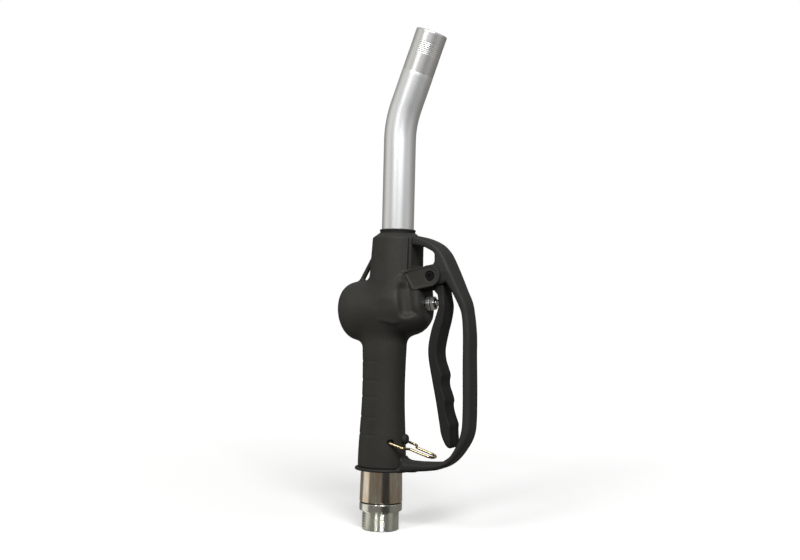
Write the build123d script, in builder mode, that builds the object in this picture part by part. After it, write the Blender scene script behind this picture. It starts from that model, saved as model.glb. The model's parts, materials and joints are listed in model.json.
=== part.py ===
"""Manual fuel nozzle: cast body, bent spout, lever guard, trigger, hold-open latch and hose swivel.

Frame: millimetres, +Z up along the grip and inlet axis, origin at the centre of the inlet
thread's end face, +X towards the trigger and guard, Y = 0 the plane of symmetry. Heights in
this file are measured from a datum THREAD_START below the thread's end face; every piece is
lowered by that much when it is written, which puts the origin on the end face.
"""

import os
from math import cos, radians, sin, tan

from build123d import *

# Inlet thread and hose swivel, on the Z axis (a G1 male pipe thread)
THREAD_RADIUS = 16.625
THREAD_START = 2.5
THREAD_TOP = 19.6
THREAD_PITCH = 2.309
THREAD_LEAD = 0.4
THREAD_DEPTH = 1.3
INLET_BORE = 10.0
COLLAR_RADIUS = 19.0
COLLAR_TOP = 26.5
SLEEVE_RADIUS = 19.1
SLEEVE_TAPER = 0.6
SLEEVE_BOTTOM = 27.5
SLEEVE_TOP = 54.0
SPIGOT_RADIUS = 13.5
SPIGOT_TOP = 50.0
SPIGOT_FIT = 0.08
TAIL_RADIUS = 14.0
TAIL_TOP = 70.0
BALL_RADIUS = 1.6
BALL_HEIGHT = 34.0
BALL_COUNT = 20
BALL_PLUG_RADIUS = 2.0
SWIVEL_SEAL_HEIGHT = 42.0

# Grip: height, half width along X, half width along Y
GRIP_BOTTOM = 58.0
GRIP_SECTIONS = (
    (GRIP_BOTTOM, 21.9, 19.6),
    (86.0, 21.1, 18.9),
    (121.0, 19.6, 17.5),
    (150.0, 19.8, 17.6),
    (182.0, 20.6, 18.4),
)
GRIP_BORE = 11.0
GRIP_BORE_TOP = 170.0
GRIP_GROOVES = (87.0, 102.5, 120.6, 135.0, 152.0)
GRIP_GROOVE_DEPTH = 0.5
GRIP_GROOVE_WIDTH = 1.3

# Valve chamber: a drum lying across the top of the grip, its lever end tilted up
VALVE_HEIGHT = 199.3
VALVE_TILT = radians(6.5)
DRUM_RADIUS = 26.9
DRUM_REAR = -21.0
DRUM_SHOULDER = 19.0
DRUM_FRONT = 33.0
DRUM_FRONT_RADIUS = 20.5
CAP_SEAM = -30.0
CAP_END = -41.6
DOME_BULGE = (3.2, 19.0)
CAP_GAP = 0.1
CAP_SEAL_RADIUS = 20.8
CHAMBER_RADIUS = 19.5
SPRING_POCKET_RADIUS = 10.0
SEAT_STATION = 2.0
SEAT_FACE = -2.0
SEAT_RADIUS = 14.5
SEAT_BORE = 11.0
SEAT_GAP = 0.1
POPPET_RADIUS = 14.0
POPPET_BACK = -9.0
OUTLET_STATION = 8.0
OUTLET_RADIUS = 16.0
OUTLET_END = 28.0
GLAND_BOSS_RADIUS = 18.0
GLAND_BOSS_FRONT = 41.0
STUFFING_STATION = 32.0
STUFFING_RADIUS = 6.4
GLAND_NUT_INNER = 37.0
GLAND_NUT_CORNER = 7.0
GLAND_HEAD_END = 45.0
GLAND_NOSE_RADIUS = 4.4
LOCK_NUT_CORNER = 6.6
LOCK_NUT_END = 48.8
STEM_RADIUS = 3.0
STEM_FIT = 0.06
STEM_END = 55.2

# Neck and spout
SPOUT_X = 10.3
NECK_TOP = 267.4
NECK_BASE_RADIUS = 24.6
NECK_RADIUS = 22.3
NECK_MOUTH_RADIUS = 16.9
SPOUT_RADIUS = 14.35
SPOUT_BORE = 12.4
SPOUT_FOOT = 240.0
SPOUT_COLLAR_RADIUS = 15.8
COLLAR_FOOT = 260.0
BEND_HEIGHT = 366.0
BEND_RADIUS = 90.0
BEND_ANGLE = radians(19.9)
SPOUT_TIP_RUN = 84.9

# Trigger pivot and the ears that carry it
PIVOT_X = 49.4
PIVOT_Z = 227.9
PIVOT_RADIUS = 3.0
EAR_TILT = 11.0
EAR_RADIUS = 9.3
EAR_INNER = 14.2
EAR_OUTER = 17.5
EAR_RECESS = 1.6
PIVOT_FIT = 0.05
SCREW_HEAD_RADIUS = 3.8
BUSH_RADIUS = 4.4
TRIGGER_HALF_WIDTH = 12.0
TONGUE_HALF_WIDTH = 10.0
TRIGGER_WALL = 2.6
TRIGGER_BOTTOM = 79.0
TRIGGER_TIP_RADIUS = 4.0
PAD_FACE = 55.5
PAD_DEPTH = 3.0
PAD_RADIUS = 4.0

# Guard
GUARD_HALF_WIDTH = 10.5
HEAD_HALF_WIDTH = 14.0
RING_HALF_X = 24.5
RING_HALF_Y = 22.1

# Hold-open latch: a wire loop hinged in the sides of the grip
LATCH_X = 14.1
LATCH_Z = 81.3
LATCH_REST = radians(17.4)
LATCH_LENGTH = 38.4
LATCH_WIRE_RADIUS = 1.15
LATCH_HALF_WIDTH = 15.8
LATCH_NOSE_HALF_WIDTH = 7.5
EYELET_INNER = 10.0
EYELET_OUTER = 14.4
EYELET_RADIUS = 2.4

# Rubber stop on the front of the grip
STOP_Z = 83.8
STOP_RADIUS = 3.7
STOP_STALK_RADIUS = 2.0
STOP_STALK_END = 16.5

ALONG = (cos(VALVE_TILT), 0, sin(VALVE_TILT))
VALVE_ORIGIN = Vector(0, 0, VALVE_HEIGHT)
VALVE_AXIS = Axis(VALVE_ORIGIN, ALONG)
VALVE_SECTION = Plane(origin=VALVE_ORIGIN, x_dir=ALONG, z_dir=(0, -1, 0))
SPOUT_AXIS = Axis((SPOUT_X, 0, 0), (0, 0, 1))
TIP_DIRECTION = Vector(sin(BEND_ANGLE), 0, cos(BEND_ANGLE))
TIP_CENTRE = Vector(SPOUT_X, 0, BEND_HEIGHT) + TIP_DIRECTION * SPOUT_TIP_RUN


def valve_cross(station):
    """The plane square to the valve axis at a distance along it from the grip axis."""
    return Plane(
        origin=VALVE_ORIGIN + Vector(*ALONG) * station,
        x_dir=(0, 1, 0),
        z_dir=ALONG,
    )


def side_plane(offset=0.0):
    """The XZ plane at a given Y, facing -Y."""
    return Plane(origin=(0, offset, 0), x_dir=(1, 0, 0), z_dir=(0, -1, 0))


def write(piece, name):
    """Lower a finished piece onto the frame's origin, label it and write its STEP file."""
    finished = Pos(0, 0, -THREAD_START) * piece.part
    finished.label = name
    export_step(finished, f"parts/{name}.step")
    print(f"{name}: {finished.volume:.0f} mm3, valid {finished.is_valid}")


def turned(points, axis, plane):
    """A turned solid: a closed straight-sided profile swung round an axis."""
    with BuildPart() as solid:
        with BuildSketch(plane):
            with BuildLine():
                Polyline(*points, close=True)
            make_face()
        revolve(axis=axis)
    return solid.part


def turned_on_z(points):
    """A turned solid on the grip's axis, from (radius, height) points."""
    return turned(points, Axis.Z, Plane.XZ)


def turned_on_valve(points):
    """A turned solid on the valve axis, from (station, radius) points."""
    return turned(points, VALVE_AXIS, VALVE_SECTION)


def tube_on_valve(start, end, inner, outer):
    """A plain tube, or a disc when inner is 0, on the valve axis."""
    return turned_on_valve(((start, inner), (start, outer), (end, outer), (end, inner)))


def round_ring(place, section_radius, axis, plane):
    """A turned ring of round section, such as an O-ring, at a place in its sketch plane."""
    with BuildPart() as solid:
        with BuildSketch(plane):
            with Locations(place):
                Circle(section_radius)
        revolve(axis=axis)
    return solid.part


def side_slab(points, half_width, plane=Plane.XZ):
    """A flat plate lying in the XZ plane, its outline extruded both ways along Y."""
    with BuildPart() as solid:
        with BuildSketch(plane):
            with BuildLine():
                Polyline(*points, close=True)
            make_face()
        extrude(amount=half_width, both=True)
    return solid.part


def y_rod(x, z, radius, start, end):
    """A round rod or hole along Y between two Y values."""
    with BuildPart() as solid:
        with BuildSketch(side_plane(end)):
            with Locations((x, z)):
                Circle(radius)
        extrude(amount=end - start)
    return solid.part


# ---------------------------------------------------------------- body casting


def dome_curve():
    """The rounded rear end of the drum, from its tip on the valve axis to its straight side."""
    tip = (CAP_END, 0)
    bulge = (CAP_END + DOME_BULGE[0], DOME_BULGE[1])
    return Spline(tip, bulge, (DRUM_REAR, DRUM_RADIUS), tangents=((0, 1), (1, 0)))


def grip_and_drum():
    """The oval grip blended into the valve drum that lies across its top, up to the cap's seam."""
    behind_seam = tube_on_valve(CAP_END - 5, CAP_SEAM, 0, DRUM_RADIUS + 5)
    with BuildPart() as solid:
        for height, half_x, half_y in GRIP_SECTIONS:
            with BuildSketch(Plane.XY.offset(height)):
                Ellipse(half_x, half_y)
        loft()
        with BuildSketch(VALVE_SECTION):
            with BuildLine():
                rear = dome_curve()
                top = Line(rear @ 1, (DRUM_SHOULDER, DRUM_RADIUS))
                shoulder = TangentArc(top @ 1, (DRUM_FRONT, DRUM_FRONT_RADIUS), tangent=(1, 0))
                front = Line(shoulder @ 1, (DRUM_FRONT, 0))
                Line(front @ 1, rear @ 0)
            make_face()
        revolve(axis=VALVE_AXIS)
        seams = solid.edges().filter_by(GeomType.BSPLINE)
        fillet(seams.filter_by(lambda e: e.center().Z > 160 and 40 < e.length < 60), 6)
        add(behind_seam, mode=Mode.SUBTRACT)
    return solid.part


def neck_solid(grow=0.0):
    """The tapered neck that carries the spout, with a chamfered mouth; grow makes it thicker."""
    mouth_chamfer = 1.6
    foot, taper_start, taper_end = 205, 222, 261
    mouth = NECK_MOUTH_RADIUS + grow
    return turned(
        (
            (SPOUT_X, foot),
            (SPOUT_X + NECK_BASE_RADIUS + grow, foot),
            (SPOUT_X + NECK_BASE_RADIUS + grow, taper_start),
            (SPOUT_X + NECK_RADIUS + grow, taper_end),
            (SPOUT_X + mouth + mouth_chamfer, NECK_TOP - mouth_chamfer + grow),
            (SPOUT_X + mouth, NECK_TOP + grow),
            (SPOUT_X, NECK_TOP + grow),
        ),
        SPOUT_AXIS,
        Plane.XZ,
    )


def gland_boss():
    """The upright boss round the valve stem: a rounded foot below, straight sides up to the ears."""
    start, boss_height, edge_round = 24, 20, 5.0
    with BuildPart() as solid:
        with BuildSketch(valve_cross(start)):
            with BuildLine():
                right = Line((GLAND_BOSS_RADIUS, boss_height), (GLAND_BOSS_RADIUS, 0))
                foot = RadiusArc(right @ 1, (-GLAND_BOSS_RADIUS, 0), GLAND_BOSS_RADIUS)
                left = Line(foot @ 1, (-GLAND_BOSS_RADIUS, boss_height))
                Line(left @ 1, right @ 0)
            make_face()
        extrude(amount=GLAND_BOSS_FRONT - start)
        front = solid.faces().sort_by(VALVE_AXIS)[-1]
        fillet(front.edges().sort_by(Axis.Z)[:-1], edge_round)
    return solid.part


def ear_outline():
    """The lozenge plate round the pivot: a round end, a slanted arm and a pointed root."""
    tilt = radians(EAR_TILT)
    back_x, back_z = -cos(tilt), -sin(tilt)
    side_x, side_z = -sin(tilt), cos(tilt)
    arm = 17.5
    top = (PIVOT_X + EAR_RADIUS * side_x, PIVOT_Z + EAR_RADIUS * side_z)
    low = (PIVOT_X - EAR_RADIUS * side_x, PIVOT_Z - EAR_RADIUS * side_z)
    nose = (PIVOT_X - EAR_RADIUS * back_x, PIVOT_Z - EAR_RADIUS * back_z)
    top_root = (top[0] + arm * back_x, top[1] + (arm + 1.5) * back_z)
    low_root = (low[0] + arm * back_x, low[1] + arm * back_z)
    point = (24.6, 230.9)
    return top, nose, low, low_root, point, top_root


def ear_pair():
    """Both ears, with bevelled outer edges."""
    bevel = 0.8
    top, nose, low, low_root, point, top_root = ear_outline()
    with BuildPart() as solid:
        with BuildSketch(side_plane()):
            with BuildLine():
                ThreePointArc(top, nose, low)
                Polyline(low, low_root, point, top_root, top)
            make_face()
        extrude(amount=EAR_OUTER, both=True)
        ends = solid.faces().filter_by(Axis.Y).sort_by(Axis.Y)
        chamfer([*ends[0].edges(), *ends[-1].edges()], bevel)
        with BuildSketch(side_plane()):
            with Locations((PIVOT_X, PIVOT_Z)):
                Rectangle(80, 60)
        extrude(amount=EAR_INNER, both=True, mode=Mode.SUBTRACT)
    return solid.part


def neck_front_pad():
    """The flat-sided pad on the front of the neck, between the ears, with a bead up each side."""
    pad_half, pad_front, bead_radius = 14.0, 28.4, 1.1
    pad = side_slab(((12, 214), (pad_front, 214), (pad_front, 258.5), (12, 258.5)), pad_half)
    with BuildPart() as solid:
        add(pad)
        with BuildSketch(Plane.XY.offset(233)):
            with Locations((25.6, -16.0), (25.6, 16.0)):
                Circle(bead_radius)
        extrude(amount=27)
    return solid.part


def hanging_strut():
    """The thin strut behind the neck that leaves a loop for hanging the nozzle up."""
    return side_slab(
        (
            (-8.0, 258.0),
            (-10.2, 253.3),
            (-15.7, 243.2),
            (-26.5, 223.4),
            (-25.0, 219.0),
            (-22.0, 219.0),
            (-21.6, 224.8),
            (-16.4, 234.4),
            (-12.4, 241.9),
            (-6.0, 246.0),
            (-6.0, 258.0),
        ),
        2.5,
    )


def boss_root():
    """The web between the ears that joins the gland boss to the neck."""
    return side_slab(((24, 205), (39.6, 205), (39.6, 214.5), (33.4, 217.5), (24, 226)), EAR_INNER)


def passages():
    """Everything cut out of the casting: fuel passages, chamber, sockets and pin holes."""
    port_half = 9.0
    inlet_port = side_slab(((-11, 166), (-0.5, 166), (-0.5, 190), (-11, 190)), port_half)
    outlet_port = side_slab(((10, 200), (21.5, 200), (21.5, 236), (10, 236)), port_half)
    grip_bore = turned_on_z(
        (
            (0, GRIP_BOTTOM - 1),
            (TAIL_RADIUS, GRIP_BOTTOM - 1),
            (TAIL_RADIUS, TAIL_TOP + 2),
            (GRIP_BORE, TAIL_TOP + 5),
            (GRIP_BORE, GRIP_BORE_TOP),
            (0, GRIP_BORE_TOP),
        )
    )
    chamber = turned_on_valve(
        (
            (CAP_SEAM - 1, 0),
            (CAP_SEAM - 1, CHAMBER_RADIUS),
            (SEAT_STATION, CHAMBER_RADIUS),
            (SEAT_STATION, SEAT_RADIUS),
            (OUTLET_STATION, SEAT_RADIUS),
            (OUTLET_STATION, OUTLET_RADIUS),
            (OUTLET_END, OUTLET_RADIUS),
            (OUTLET_END, STEM_RADIUS + STEM_FIT),
            (STUFFING_STATION, STEM_RADIUS + STEM_FIT),
            (STUFFING_STATION, STUFFING_RADIUS),
            (GLAND_BOSS_FRONT + 1, STUFFING_RADIUS),
            (GLAND_BOSS_FRONT + 1, 0),
        )
    )
    cap_groove = round_ring((CAP_SEAM + 0.9, CAP_SEAL_RADIUS), 1.0, VALVE_AXIS, VALVE_SECTION)
    neck_bore = turned(
        (
            (SPOUT_X, 231),
            (SPOUT_X + SPOUT_BORE, 231),
            (SPOUT_X + SPOUT_BORE, SPOUT_FOOT),
            (SPOUT_X + SPOUT_RADIUS, SPOUT_FOOT),
            (SPOUT_X + SPOUT_RADIUS, COLLAR_FOOT),
            (SPOUT_X + SPOUT_COLLAR_RADIUS, COLLAR_FOOT),
            (SPOUT_X + SPOUT_COLLAR_RADIUS, NECK_TOP + 1),
            (SPOUT_X, NECK_TOP + 1),
        ),
        SPOUT_AXIS,
        Plane.XZ,
    )
    holes = [inlet_port, outlet_port, grip_bore, chamber, cap_groove, neck_bore]
    for side in (-1, 1):
        recess = (EAR_OUTER - EAR_RECESS, EAR_OUTER + 1)
        eyelet = (EYELET_INNER, 20)
        holes.append(y_rod(PIVOT_X, PIVOT_Z, SCREW_HEAD_RADIUS + 0.4, *ordered(side, recess)))
        holes.append(y_rod(LATCH_X, LATCH_Z, EYELET_RADIUS, *ordered(side, eyelet)))
    holes.append(y_rod(PIVOT_X, PIVOT_Z, PIVOT_RADIUS + PIVOT_FIT, -EAR_OUTER, EAR_OUTER))
    with BuildPart() as stalk_hole:
        with BuildSketch(Plane.YZ.offset(STOP_STALK_END - 0.2)):
            with Locations((0, STOP_Z)):
                Circle(STOP_STALK_RADIUS)
        extrude(amount=10)
    holes.append(stalk_hole.part)
    return holes


def ordered(side, span):
    """A span of Y values mirrored to the -Y side when side is -1, lowest first."""
    return sorted(side * value for value in span)


def grip_grooves():
    """Shallow finger grooves across the back half of the grip."""
    grooves = []
    for height in GRIP_GROOVES:
        half_x, half_y = grip_half_widths(height)
        with BuildPart() as groove:
            with BuildSketch(Plane.XY.offset(height)):
                with Locations((-12, 0)):
                    Rectangle(24, 60)
                Ellipse(half_x - GRIP_GROOVE_DEPTH, half_y - GRIP_GROOVE_DEPTH, mode=Mode.SUBTRACT)
            extrude(amount=GRIP_GROOVE_WIDTH)
        grooves.append(groove.part)
    return grooves


def grip_half_widths(height):
    """Half widths of the grip's oval at a height, between the sections that shape it."""
    for low, high in zip(GRIP_SECTIONS, GRIP_SECTIONS[1:]):
        if low[0] <= height <= high[0]:
            share = (height - low[0]) / (high[0] - low[0])
            return tuple(low[i] + share * (high[i] - low[i]) for i in (1, 2))
    raise ValueError("height is off the grip")


def make_body_casting():
    """Grip, valve drum, neck, gland boss, ears and hanging strut, cast in one piece."""
    outside = [grip_and_drum(), neck_solid(), gland_boss(), boss_root(), neck_front_pad()]
    outside += [ear_pair(), hanging_strut()]
    inside = passages() + grip_grooves()
    with BuildPart() as body_casting:
        add(outside)
        add(inside, mode=Mode.SUBTRACT)
    write(body_casting, "body_casting")


# ---------------------------------------------------------------- hose swivel


def make_swivel_adapter():
    """The male inlet thread, its collar, and the spigot that turns in the sleeve."""
    lead_depth = 1.2
    ball_groove = round_ring((SPIGOT_RADIUS, BALL_HEIGHT), BALL_RADIUS + 0.05, Axis.Z, Plane.XZ)
    seal_groove = turned_on_z(
        (
            (11.5, SWIVEL_SEAL_HEIGHT - 1.3),
            (SPIGOT_RADIUS + 1, SWIVEL_SEAL_HEIGHT - 1.3),
            (SPIGOT_RADIUS + 1, SWIVEL_SEAL_HEIGHT + 1.3),
            (11.5, SWIVEL_SEAL_HEIGHT + 1.3),
        )
    )
    with BuildPart() as swivel_adapter:
        add(
            turned_on_z(
                (
                    (INLET_BORE, THREAD_START),
                    (THREAD_RADIUS - lead_depth, THREAD_START),
                    (THREAD_RADIUS, THREAD_START + THREAD_LEAD),
                    (THREAD_RADIUS, THREAD_TOP),
                    (COLLAR_RADIUS - 0.6, THREAD_TOP),
                    (COLLAR_RADIUS, THREAD_TOP + 0.6),
                    (COLLAR_RADIUS, COLLAR_TOP - 0.6),
                    (COLLAR_RADIUS - 0.6, COLLAR_TOP),
                    (SPIGOT_RADIUS, COLLAR_TOP),
                    (SPIGOT_RADIUS, SPIGOT_TOP),
                    (INLET_BORE, SPIGOT_TOP),
                )
            )
        )
        add([ball_groove, seal_groove, *thread_grooves()], mode=Mode.SUBTRACT)
    write(swivel_adapter, "swivel_adapter")


def thread_grooves():
    """One V groove per pitch of the inlet thread."""
    half_mouth = THREAD_DEPTH * tan(radians(27.5)) + 0.35
    grooves = []
    for turn in range(1, 7):
        height = THREAD_START + THREAD_LEAD + turn * THREAD_PITCH
        grooves.append(
            turned_on_z(
                (
                    (THREAD_RADIUS + 0.1, height - half_mouth),
                    (THREAD_RADIUS - THREAD_DEPTH, height),
                    (THREAD_RADIUS + 0.1, height + half_mouth),
                )
            )
        )
    return grooves


def make_swivel_sleeve():
    """The sleeve that screws into the grip and holds the spigot by its ring of balls."""
    inner = SPIGOT_RADIUS + SPIGOT_FIT
    ball_groove = round_ring((SPIGOT_RADIUS, BALL_HEIGHT), BALL_RADIUS + 0.05, Axis.Z, Plane.XZ)
    plug_hole = y_rod(0, BALL_HEIGHT, BALL_PLUG_RADIUS, SPIGOT_RADIUS, SLEEVE_RADIUS + 1)
    with BuildPart() as swivel_sleeve:
        add(
            turned_on_z(
                (
                    (inner, SLEEVE_BOTTOM),
                    (SLEEVE_RADIUS - 0.8, SLEEVE_BOTTOM),
                    (SLEEVE_RADIUS, SLEEVE_BOTTOM + 0.8),
                    (SLEEVE_RADIUS - SLEEVE_TAPER, SLEEVE_TOP),
                    (TAIL_RADIUS, SLEEVE_TOP),
                    (TAIL_RADIUS, TAIL_TOP),
                    (INLET_BORE, TAIL_TOP),
                    (INLET_BORE, SPIGOT_TOP + 0.4),
                    (inner, SPIGOT_TOP + 0.4),
                )
            )
        )
        add([ball_groove, plug_hole], mode=Mode.SUBTRACT)
    write(swivel_sleeve, "swivel_sleeve")


def make_swivel_balls():
    """The ring of balls that carries the swivel."""
    with BuildPart() as swivel_balls:
        with Locations(Location((0, 0, BALL_HEIGHT))):
            with PolarLocations(SPIGOT_RADIUS, BALL_COUNT):
                Sphere(BALL_RADIUS)
    write(swivel_balls, "swivel_balls")


def make_ball_plug():
    """The set screw that closes the hole the balls are loaded through."""
    with BuildPart() as ball_plug:
        add(y_rod(0, BALL_HEIGHT, BALL_PLUG_RADIUS, SPIGOT_RADIUS + BALL_RADIUS + 0.4, SLEEVE_RADIUS - 0.3))
        with BuildSketch(side_plane(SLEEVE_RADIUS - 0.3)):
            with Locations((0, BALL_HEIGHT)):
                RegularPolygon(1.0, 6)
        extrude(amount=1.2, mode=Mode.SUBTRACT)
    write(ball_plug, "ball_plug")


def make_swivel_seal():
    """The O-ring between spigot and sleeve."""
    with BuildPart() as swivel_seal:
        add(round_ring((12.5, SWIVEL_SEAL_HEIGHT), 1.0, Axis.Z, Plane.XZ))
    write(swivel_seal, "swivel_seal")


def make_wiper_ring():
    """The thin ring that keeps dirt out of the joint between collar and sleeve."""
    with BuildPart() as wiper_ring:
        add(
            turned_on_z(
                (
                    (SPIGOT_RADIUS + 0.02, COLLAR_TOP),
                    (SLEEVE_RADIUS - 1.2, COLLAR_TOP),
                    (SLEEVE_RADIUS - 1.2, COLLAR_TOP + 0.7),
                    (SPIGOT_RADIUS + 0.02, COLLAR_TOP + 0.7),
                )
            )
        )
    write(wiper_ring, "wiper_ring")


def make_inlet_strainer():
    """The cup strainer pushed into the inlet: a rim, a short wall and a drilled disc."""
    rim_radius = INLET_BORE - 0.02
    disc_height = 12.0
    with BuildPart() as inlet_strainer:
        add(
            turned_on_z(
                (
                    (rim_radius - 0.9, THREAD_START + 2.0),
                    (rim_radius, THREAD_START + 2.0),
                    (rim_radius, disc_height + 1.0),
                    (0, disc_height + 1.0),
                    (0, disc_height),
                    (rim_radius - 0.9, disc_height),
                )
            )
        )
        with BuildSketch(Plane.XY.offset(disc_height + 1.0)):
            with HexLocations(1.7, 5, 5):
                Circle(1.1)
        extrude(amount=-1.0, mode=Mode.SUBTRACT)
    write(inlet_strainer, "inlet_strainer")


# ---------------------------------------------------------------- spout


def make_spout_tube():
    """The bent spout, with a fine outside thread a little behind its tip."""
    tip_band, groove_pitch, groove_count, groove_depth = 9.0, 1.6, 8, 0.45
    tip_axis = Axis(TIP_CENTRE, TIP_DIRECTION)
    tip_plane = Plane(origin=TIP_CENTRE, x_dir=TIP_DIRECTION, z_dir=(0, -1, 0))
    grooves = []
    for index in range(groove_count):
        station = -(tip_band + index * groove_pitch)
        points = (
            (station, SPOUT_RADIUS + 0.1),
            (station - groove_pitch / 2, SPOUT_RADIUS - groove_depth),
            (station - groove_pitch, SPOUT_RADIUS + 0.1),
        )
        grooves.append(turned(points, tip_axis, tip_plane))
    with BuildPart() as spout_tube:
        with BuildLine() as route:
            FilletPolyline(
                (SPOUT_X, 0, SPOUT_FOOT + 0.2),
                (SPOUT_X, 0, BEND_HEIGHT),
                tuple(TIP_CENTRE),
                radius=BEND_RADIUS,
            )
        with BuildSketch(Plane(origin=(SPOUT_X, 0, SPOUT_FOOT + 0.2), z_dir=(0, 0, 1))):
            Circle(SPOUT_RADIUS)
            Circle(SPOUT_BORE, mode=Mode.SUBTRACT)
        sweep(path=route.line)
        add(grooves, mode=Mode.SUBTRACT)
        mouth = spout_tube.faces().sort_by(tip_axis)[-1]
        chamfer(mouth.edges(), 0.6)
    write(spout_tube, "spout_tube")


def make_spout_collar():
    """The threaded ring that clamps the spout in the neck's mouth."""
    with BuildPart() as spout_collar:
        add(
            turned(
                (
                    (SPOUT_X + SPOUT_RADIUS + 0.02, COLLAR_FOOT + 0.2),
                    (SPOUT_X + SPOUT_COLLAR_RADIUS, COLLAR_FOOT + 0.2),
                    (SPOUT_X + SPOUT_COLLAR_RADIUS, NECK_TOP + 0.6),
                    (SPOUT_X + SPOUT_RADIUS + 0.02, NECK_TOP + 0.6),
                ),
                SPOUT_AXIS,
                Plane.XZ,
            )
        )
    write(spout_collar, "spout_collar")


def make_spout_seal():
    """The black ring where the spout leaves the neck."""
    with BuildPart() as spout_seal:
        section = 0.9
        place = (SPOUT_X + SPOUT_RADIUS + section + 0.05, NECK_TOP + 0.6 + section)
        add(round_ring(place, section, SPOUT_AXIS, Plane.XZ))
    write(spout_seal, "spout_seal")


def make_flow_straightener():
    """The cross-shaped vane pressed into the foot of the spout."""
    low, height, blade = SPOUT_FOOT + 4, 18, 0.6
    with BuildPart() as flow_straightener:
        with BuildSketch(Plane.XY.offset(low)):
            with Locations((SPOUT_X, 0)):
                Circle(SPOUT_BORE - 0.02)
                Circle(SPOUT_BORE - 0.9, mode=Mode.SUBTRACT)
                Rectangle(2 * SPOUT_BORE - 1.2, 2 * blade)
                Rectangle(2 * blade, 2 * SPOUT_BORE - 1.2)
        extrude(amount=height)
    write(flow_straightener, "flow_straightener")


# ---------------------------------------------------------------- valve


def make_valve_cap():
    """The domed cap that closes the rear of the drum and backs the main spring."""
    wall, face = 4.0, CAP_SEAM - CAP_GAP
    ahead = tube_on_valve(face, DRUM_REAR + 5, 0, DRUM_RADIUS + 5)
    spigot = tube_on_valve(face - 1, CAP_SEAM + 6, 0, CHAMBER_RADIUS - 0.02)
    pocket = turned_on_valve(
        (
            (CAP_SEAM + 7, 0),
            (CAP_SEAM + 7, CHAMBER_RADIUS - wall),
            (CAP_END + 12, CHAMBER_RADIUS - wall),
            (CAP_END + 6, SPRING_POCKET_RADIUS),
            (CAP_END + 6, 0),
        )
    )
    with BuildPart() as valve_cap:
        with BuildSketch(VALVE_SECTION):
            with BuildLine():
                dome = dome_curve()
                Polyline(dome @ 1, (DRUM_REAR, 0), dome @ 0)
            make_face()
        revolve(axis=VALVE_AXIS)
        add(ahead, mode=Mode.SUBTRACT)
        add(spigot)
        add(pocket, mode=Mode.SUBTRACT)
    write(valve_cap, "valve_cap")


def make_cap_seal():
    """The O-ring in the drum's rear face."""
    with BuildPart() as cap_seal:
        add(round_ring((CAP_SEAM + 0.9, CAP_SEAL_RADIUS), 0.95, VALVE_AXIS, VALVE_SECTION))
    write(cap_seal, "cap_seal")


def make_main_spring():
    """The compression spring that closes the valve."""
    wire, coil, turns = 0.9, 8.0, 6
    foot, head = CAP_END + 6 + wire + 0.1, POPPET_BACK - wire - 0.1
    with BuildPart() as main_spring:
        with BuildLine() as coil_line:
            Helix(
                pitch=(head - foot) / turns,
                height=head - foot,
                radius=coil,
                center=tuple(VALVE_ORIGIN + Vector(*ALONG) * foot),
                direction=ALONG,
            )
        with BuildSketch(Plane(origin=coil_line.line @ 0, z_dir=coil_line.line % 0)):
            Circle(wire)
        sweep(path=coil_line.line, is_frenet=True)
    write(main_spring, "main_spring")


def make_seat_ring():
    """The ring screwed into the chamber wall that the poppet closes against."""
    with BuildPart() as seat_ring:
        add(
            turned_on_valve(
                (
                    (SEAT_FACE, SEAT_BORE + 0.5),
                    (SEAT_FACE, SEAT_BORE + 1.5),
                    (SEAT_FACE + 1.0, SEAT_RADIUS + 1.6),
                    (SEAT_STATION - 0.02, SEAT_RADIUS + 1.6),
                    (SEAT_STATION - 0.02, SEAT_RADIUS - 0.02),
                    (OUTLET_STATION - 0.5, SEAT_RADIUS - 0.02),
                    (OUTLET_STATION - 0.5, SEAT_BORE),
                    (SEAT_FACE + 0.5, SEAT_BORE),
                )
            )
        )
    write(seat_ring, "seat_ring")


def make_poppet():
    """The valve disc, with the rim that guards its seal and a hub round the stem."""
    inner = STEM_RADIUS + 0.02
    with BuildPart() as poppet:
        add(
            turned_on_valve(
                (
                    (POPPET_BACK, inner),
                    (POPPET_BACK, POPPET_RADIUS - 1),
                    (POPPET_BACK + 1, POPPET_RADIUS),
                    (SEAT_FACE - 3.0, POPPET_RADIUS),
                    (SEAT_FACE - 3.0, inner),
                )
            )
        )
    write(poppet, "poppet")


def make_poppet_seal():
    """The rubber disc that meets the seat."""
    with BuildPart() as poppet_seal:
        seal = (SEAT_FACE - 2.98, SEAT_FACE - SEAT_GAP)
        add(tube_on_valve(*seal, STEM_RADIUS + 0.02, POPPET_RADIUS - 0.8))
    write(poppet_seal, "poppet_seal")


def make_poppet_nut():
    """The nut that clamps the poppet to the stem."""
    with BuildPart() as poppet_nut:
        with BuildSketch(valve_cross(POPPET_BACK - 3.2)):
            RegularPolygon(5.2, 6)
            Circle(STEM_RADIUS + 0.02, mode=Mode.SUBTRACT)
        extrude(amount=3.18)
    write(poppet_nut, "poppet_nut")


def make_valve_stem():
    """The rod from the poppet out to the trigger, with a shoulder and a rounded end."""
    start, shoulder = POPPET_BACK - 4.6, SEAT_FACE - 0.05
    with BuildPart() as valve_stem:
        add(tube_on_valve(start, STEM_END, 0, STEM_RADIUS))
        add(tube_on_valve(shoulder, shoulder + 3, 0, STEM_RADIUS + 2.0))
        tip = valve_stem.faces().sort_by(VALVE_AXIS)[-1]
        fillet(tip.edges(), 1.4)
    write(valve_stem, "valve_stem")


def make_gland_packing():
    """The soft packing round the stem in its stuffing box."""
    with BuildPart() as gland_packing:
        packing = (STUFFING_STATION + 0.02, GLAND_NUT_INNER - 0.02)
        add(tube_on_valve(*packing, STEM_RADIUS + STEM_FIT, STUFFING_RADIUS - 0.02))
    write(gland_packing, "gland_packing")


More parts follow.
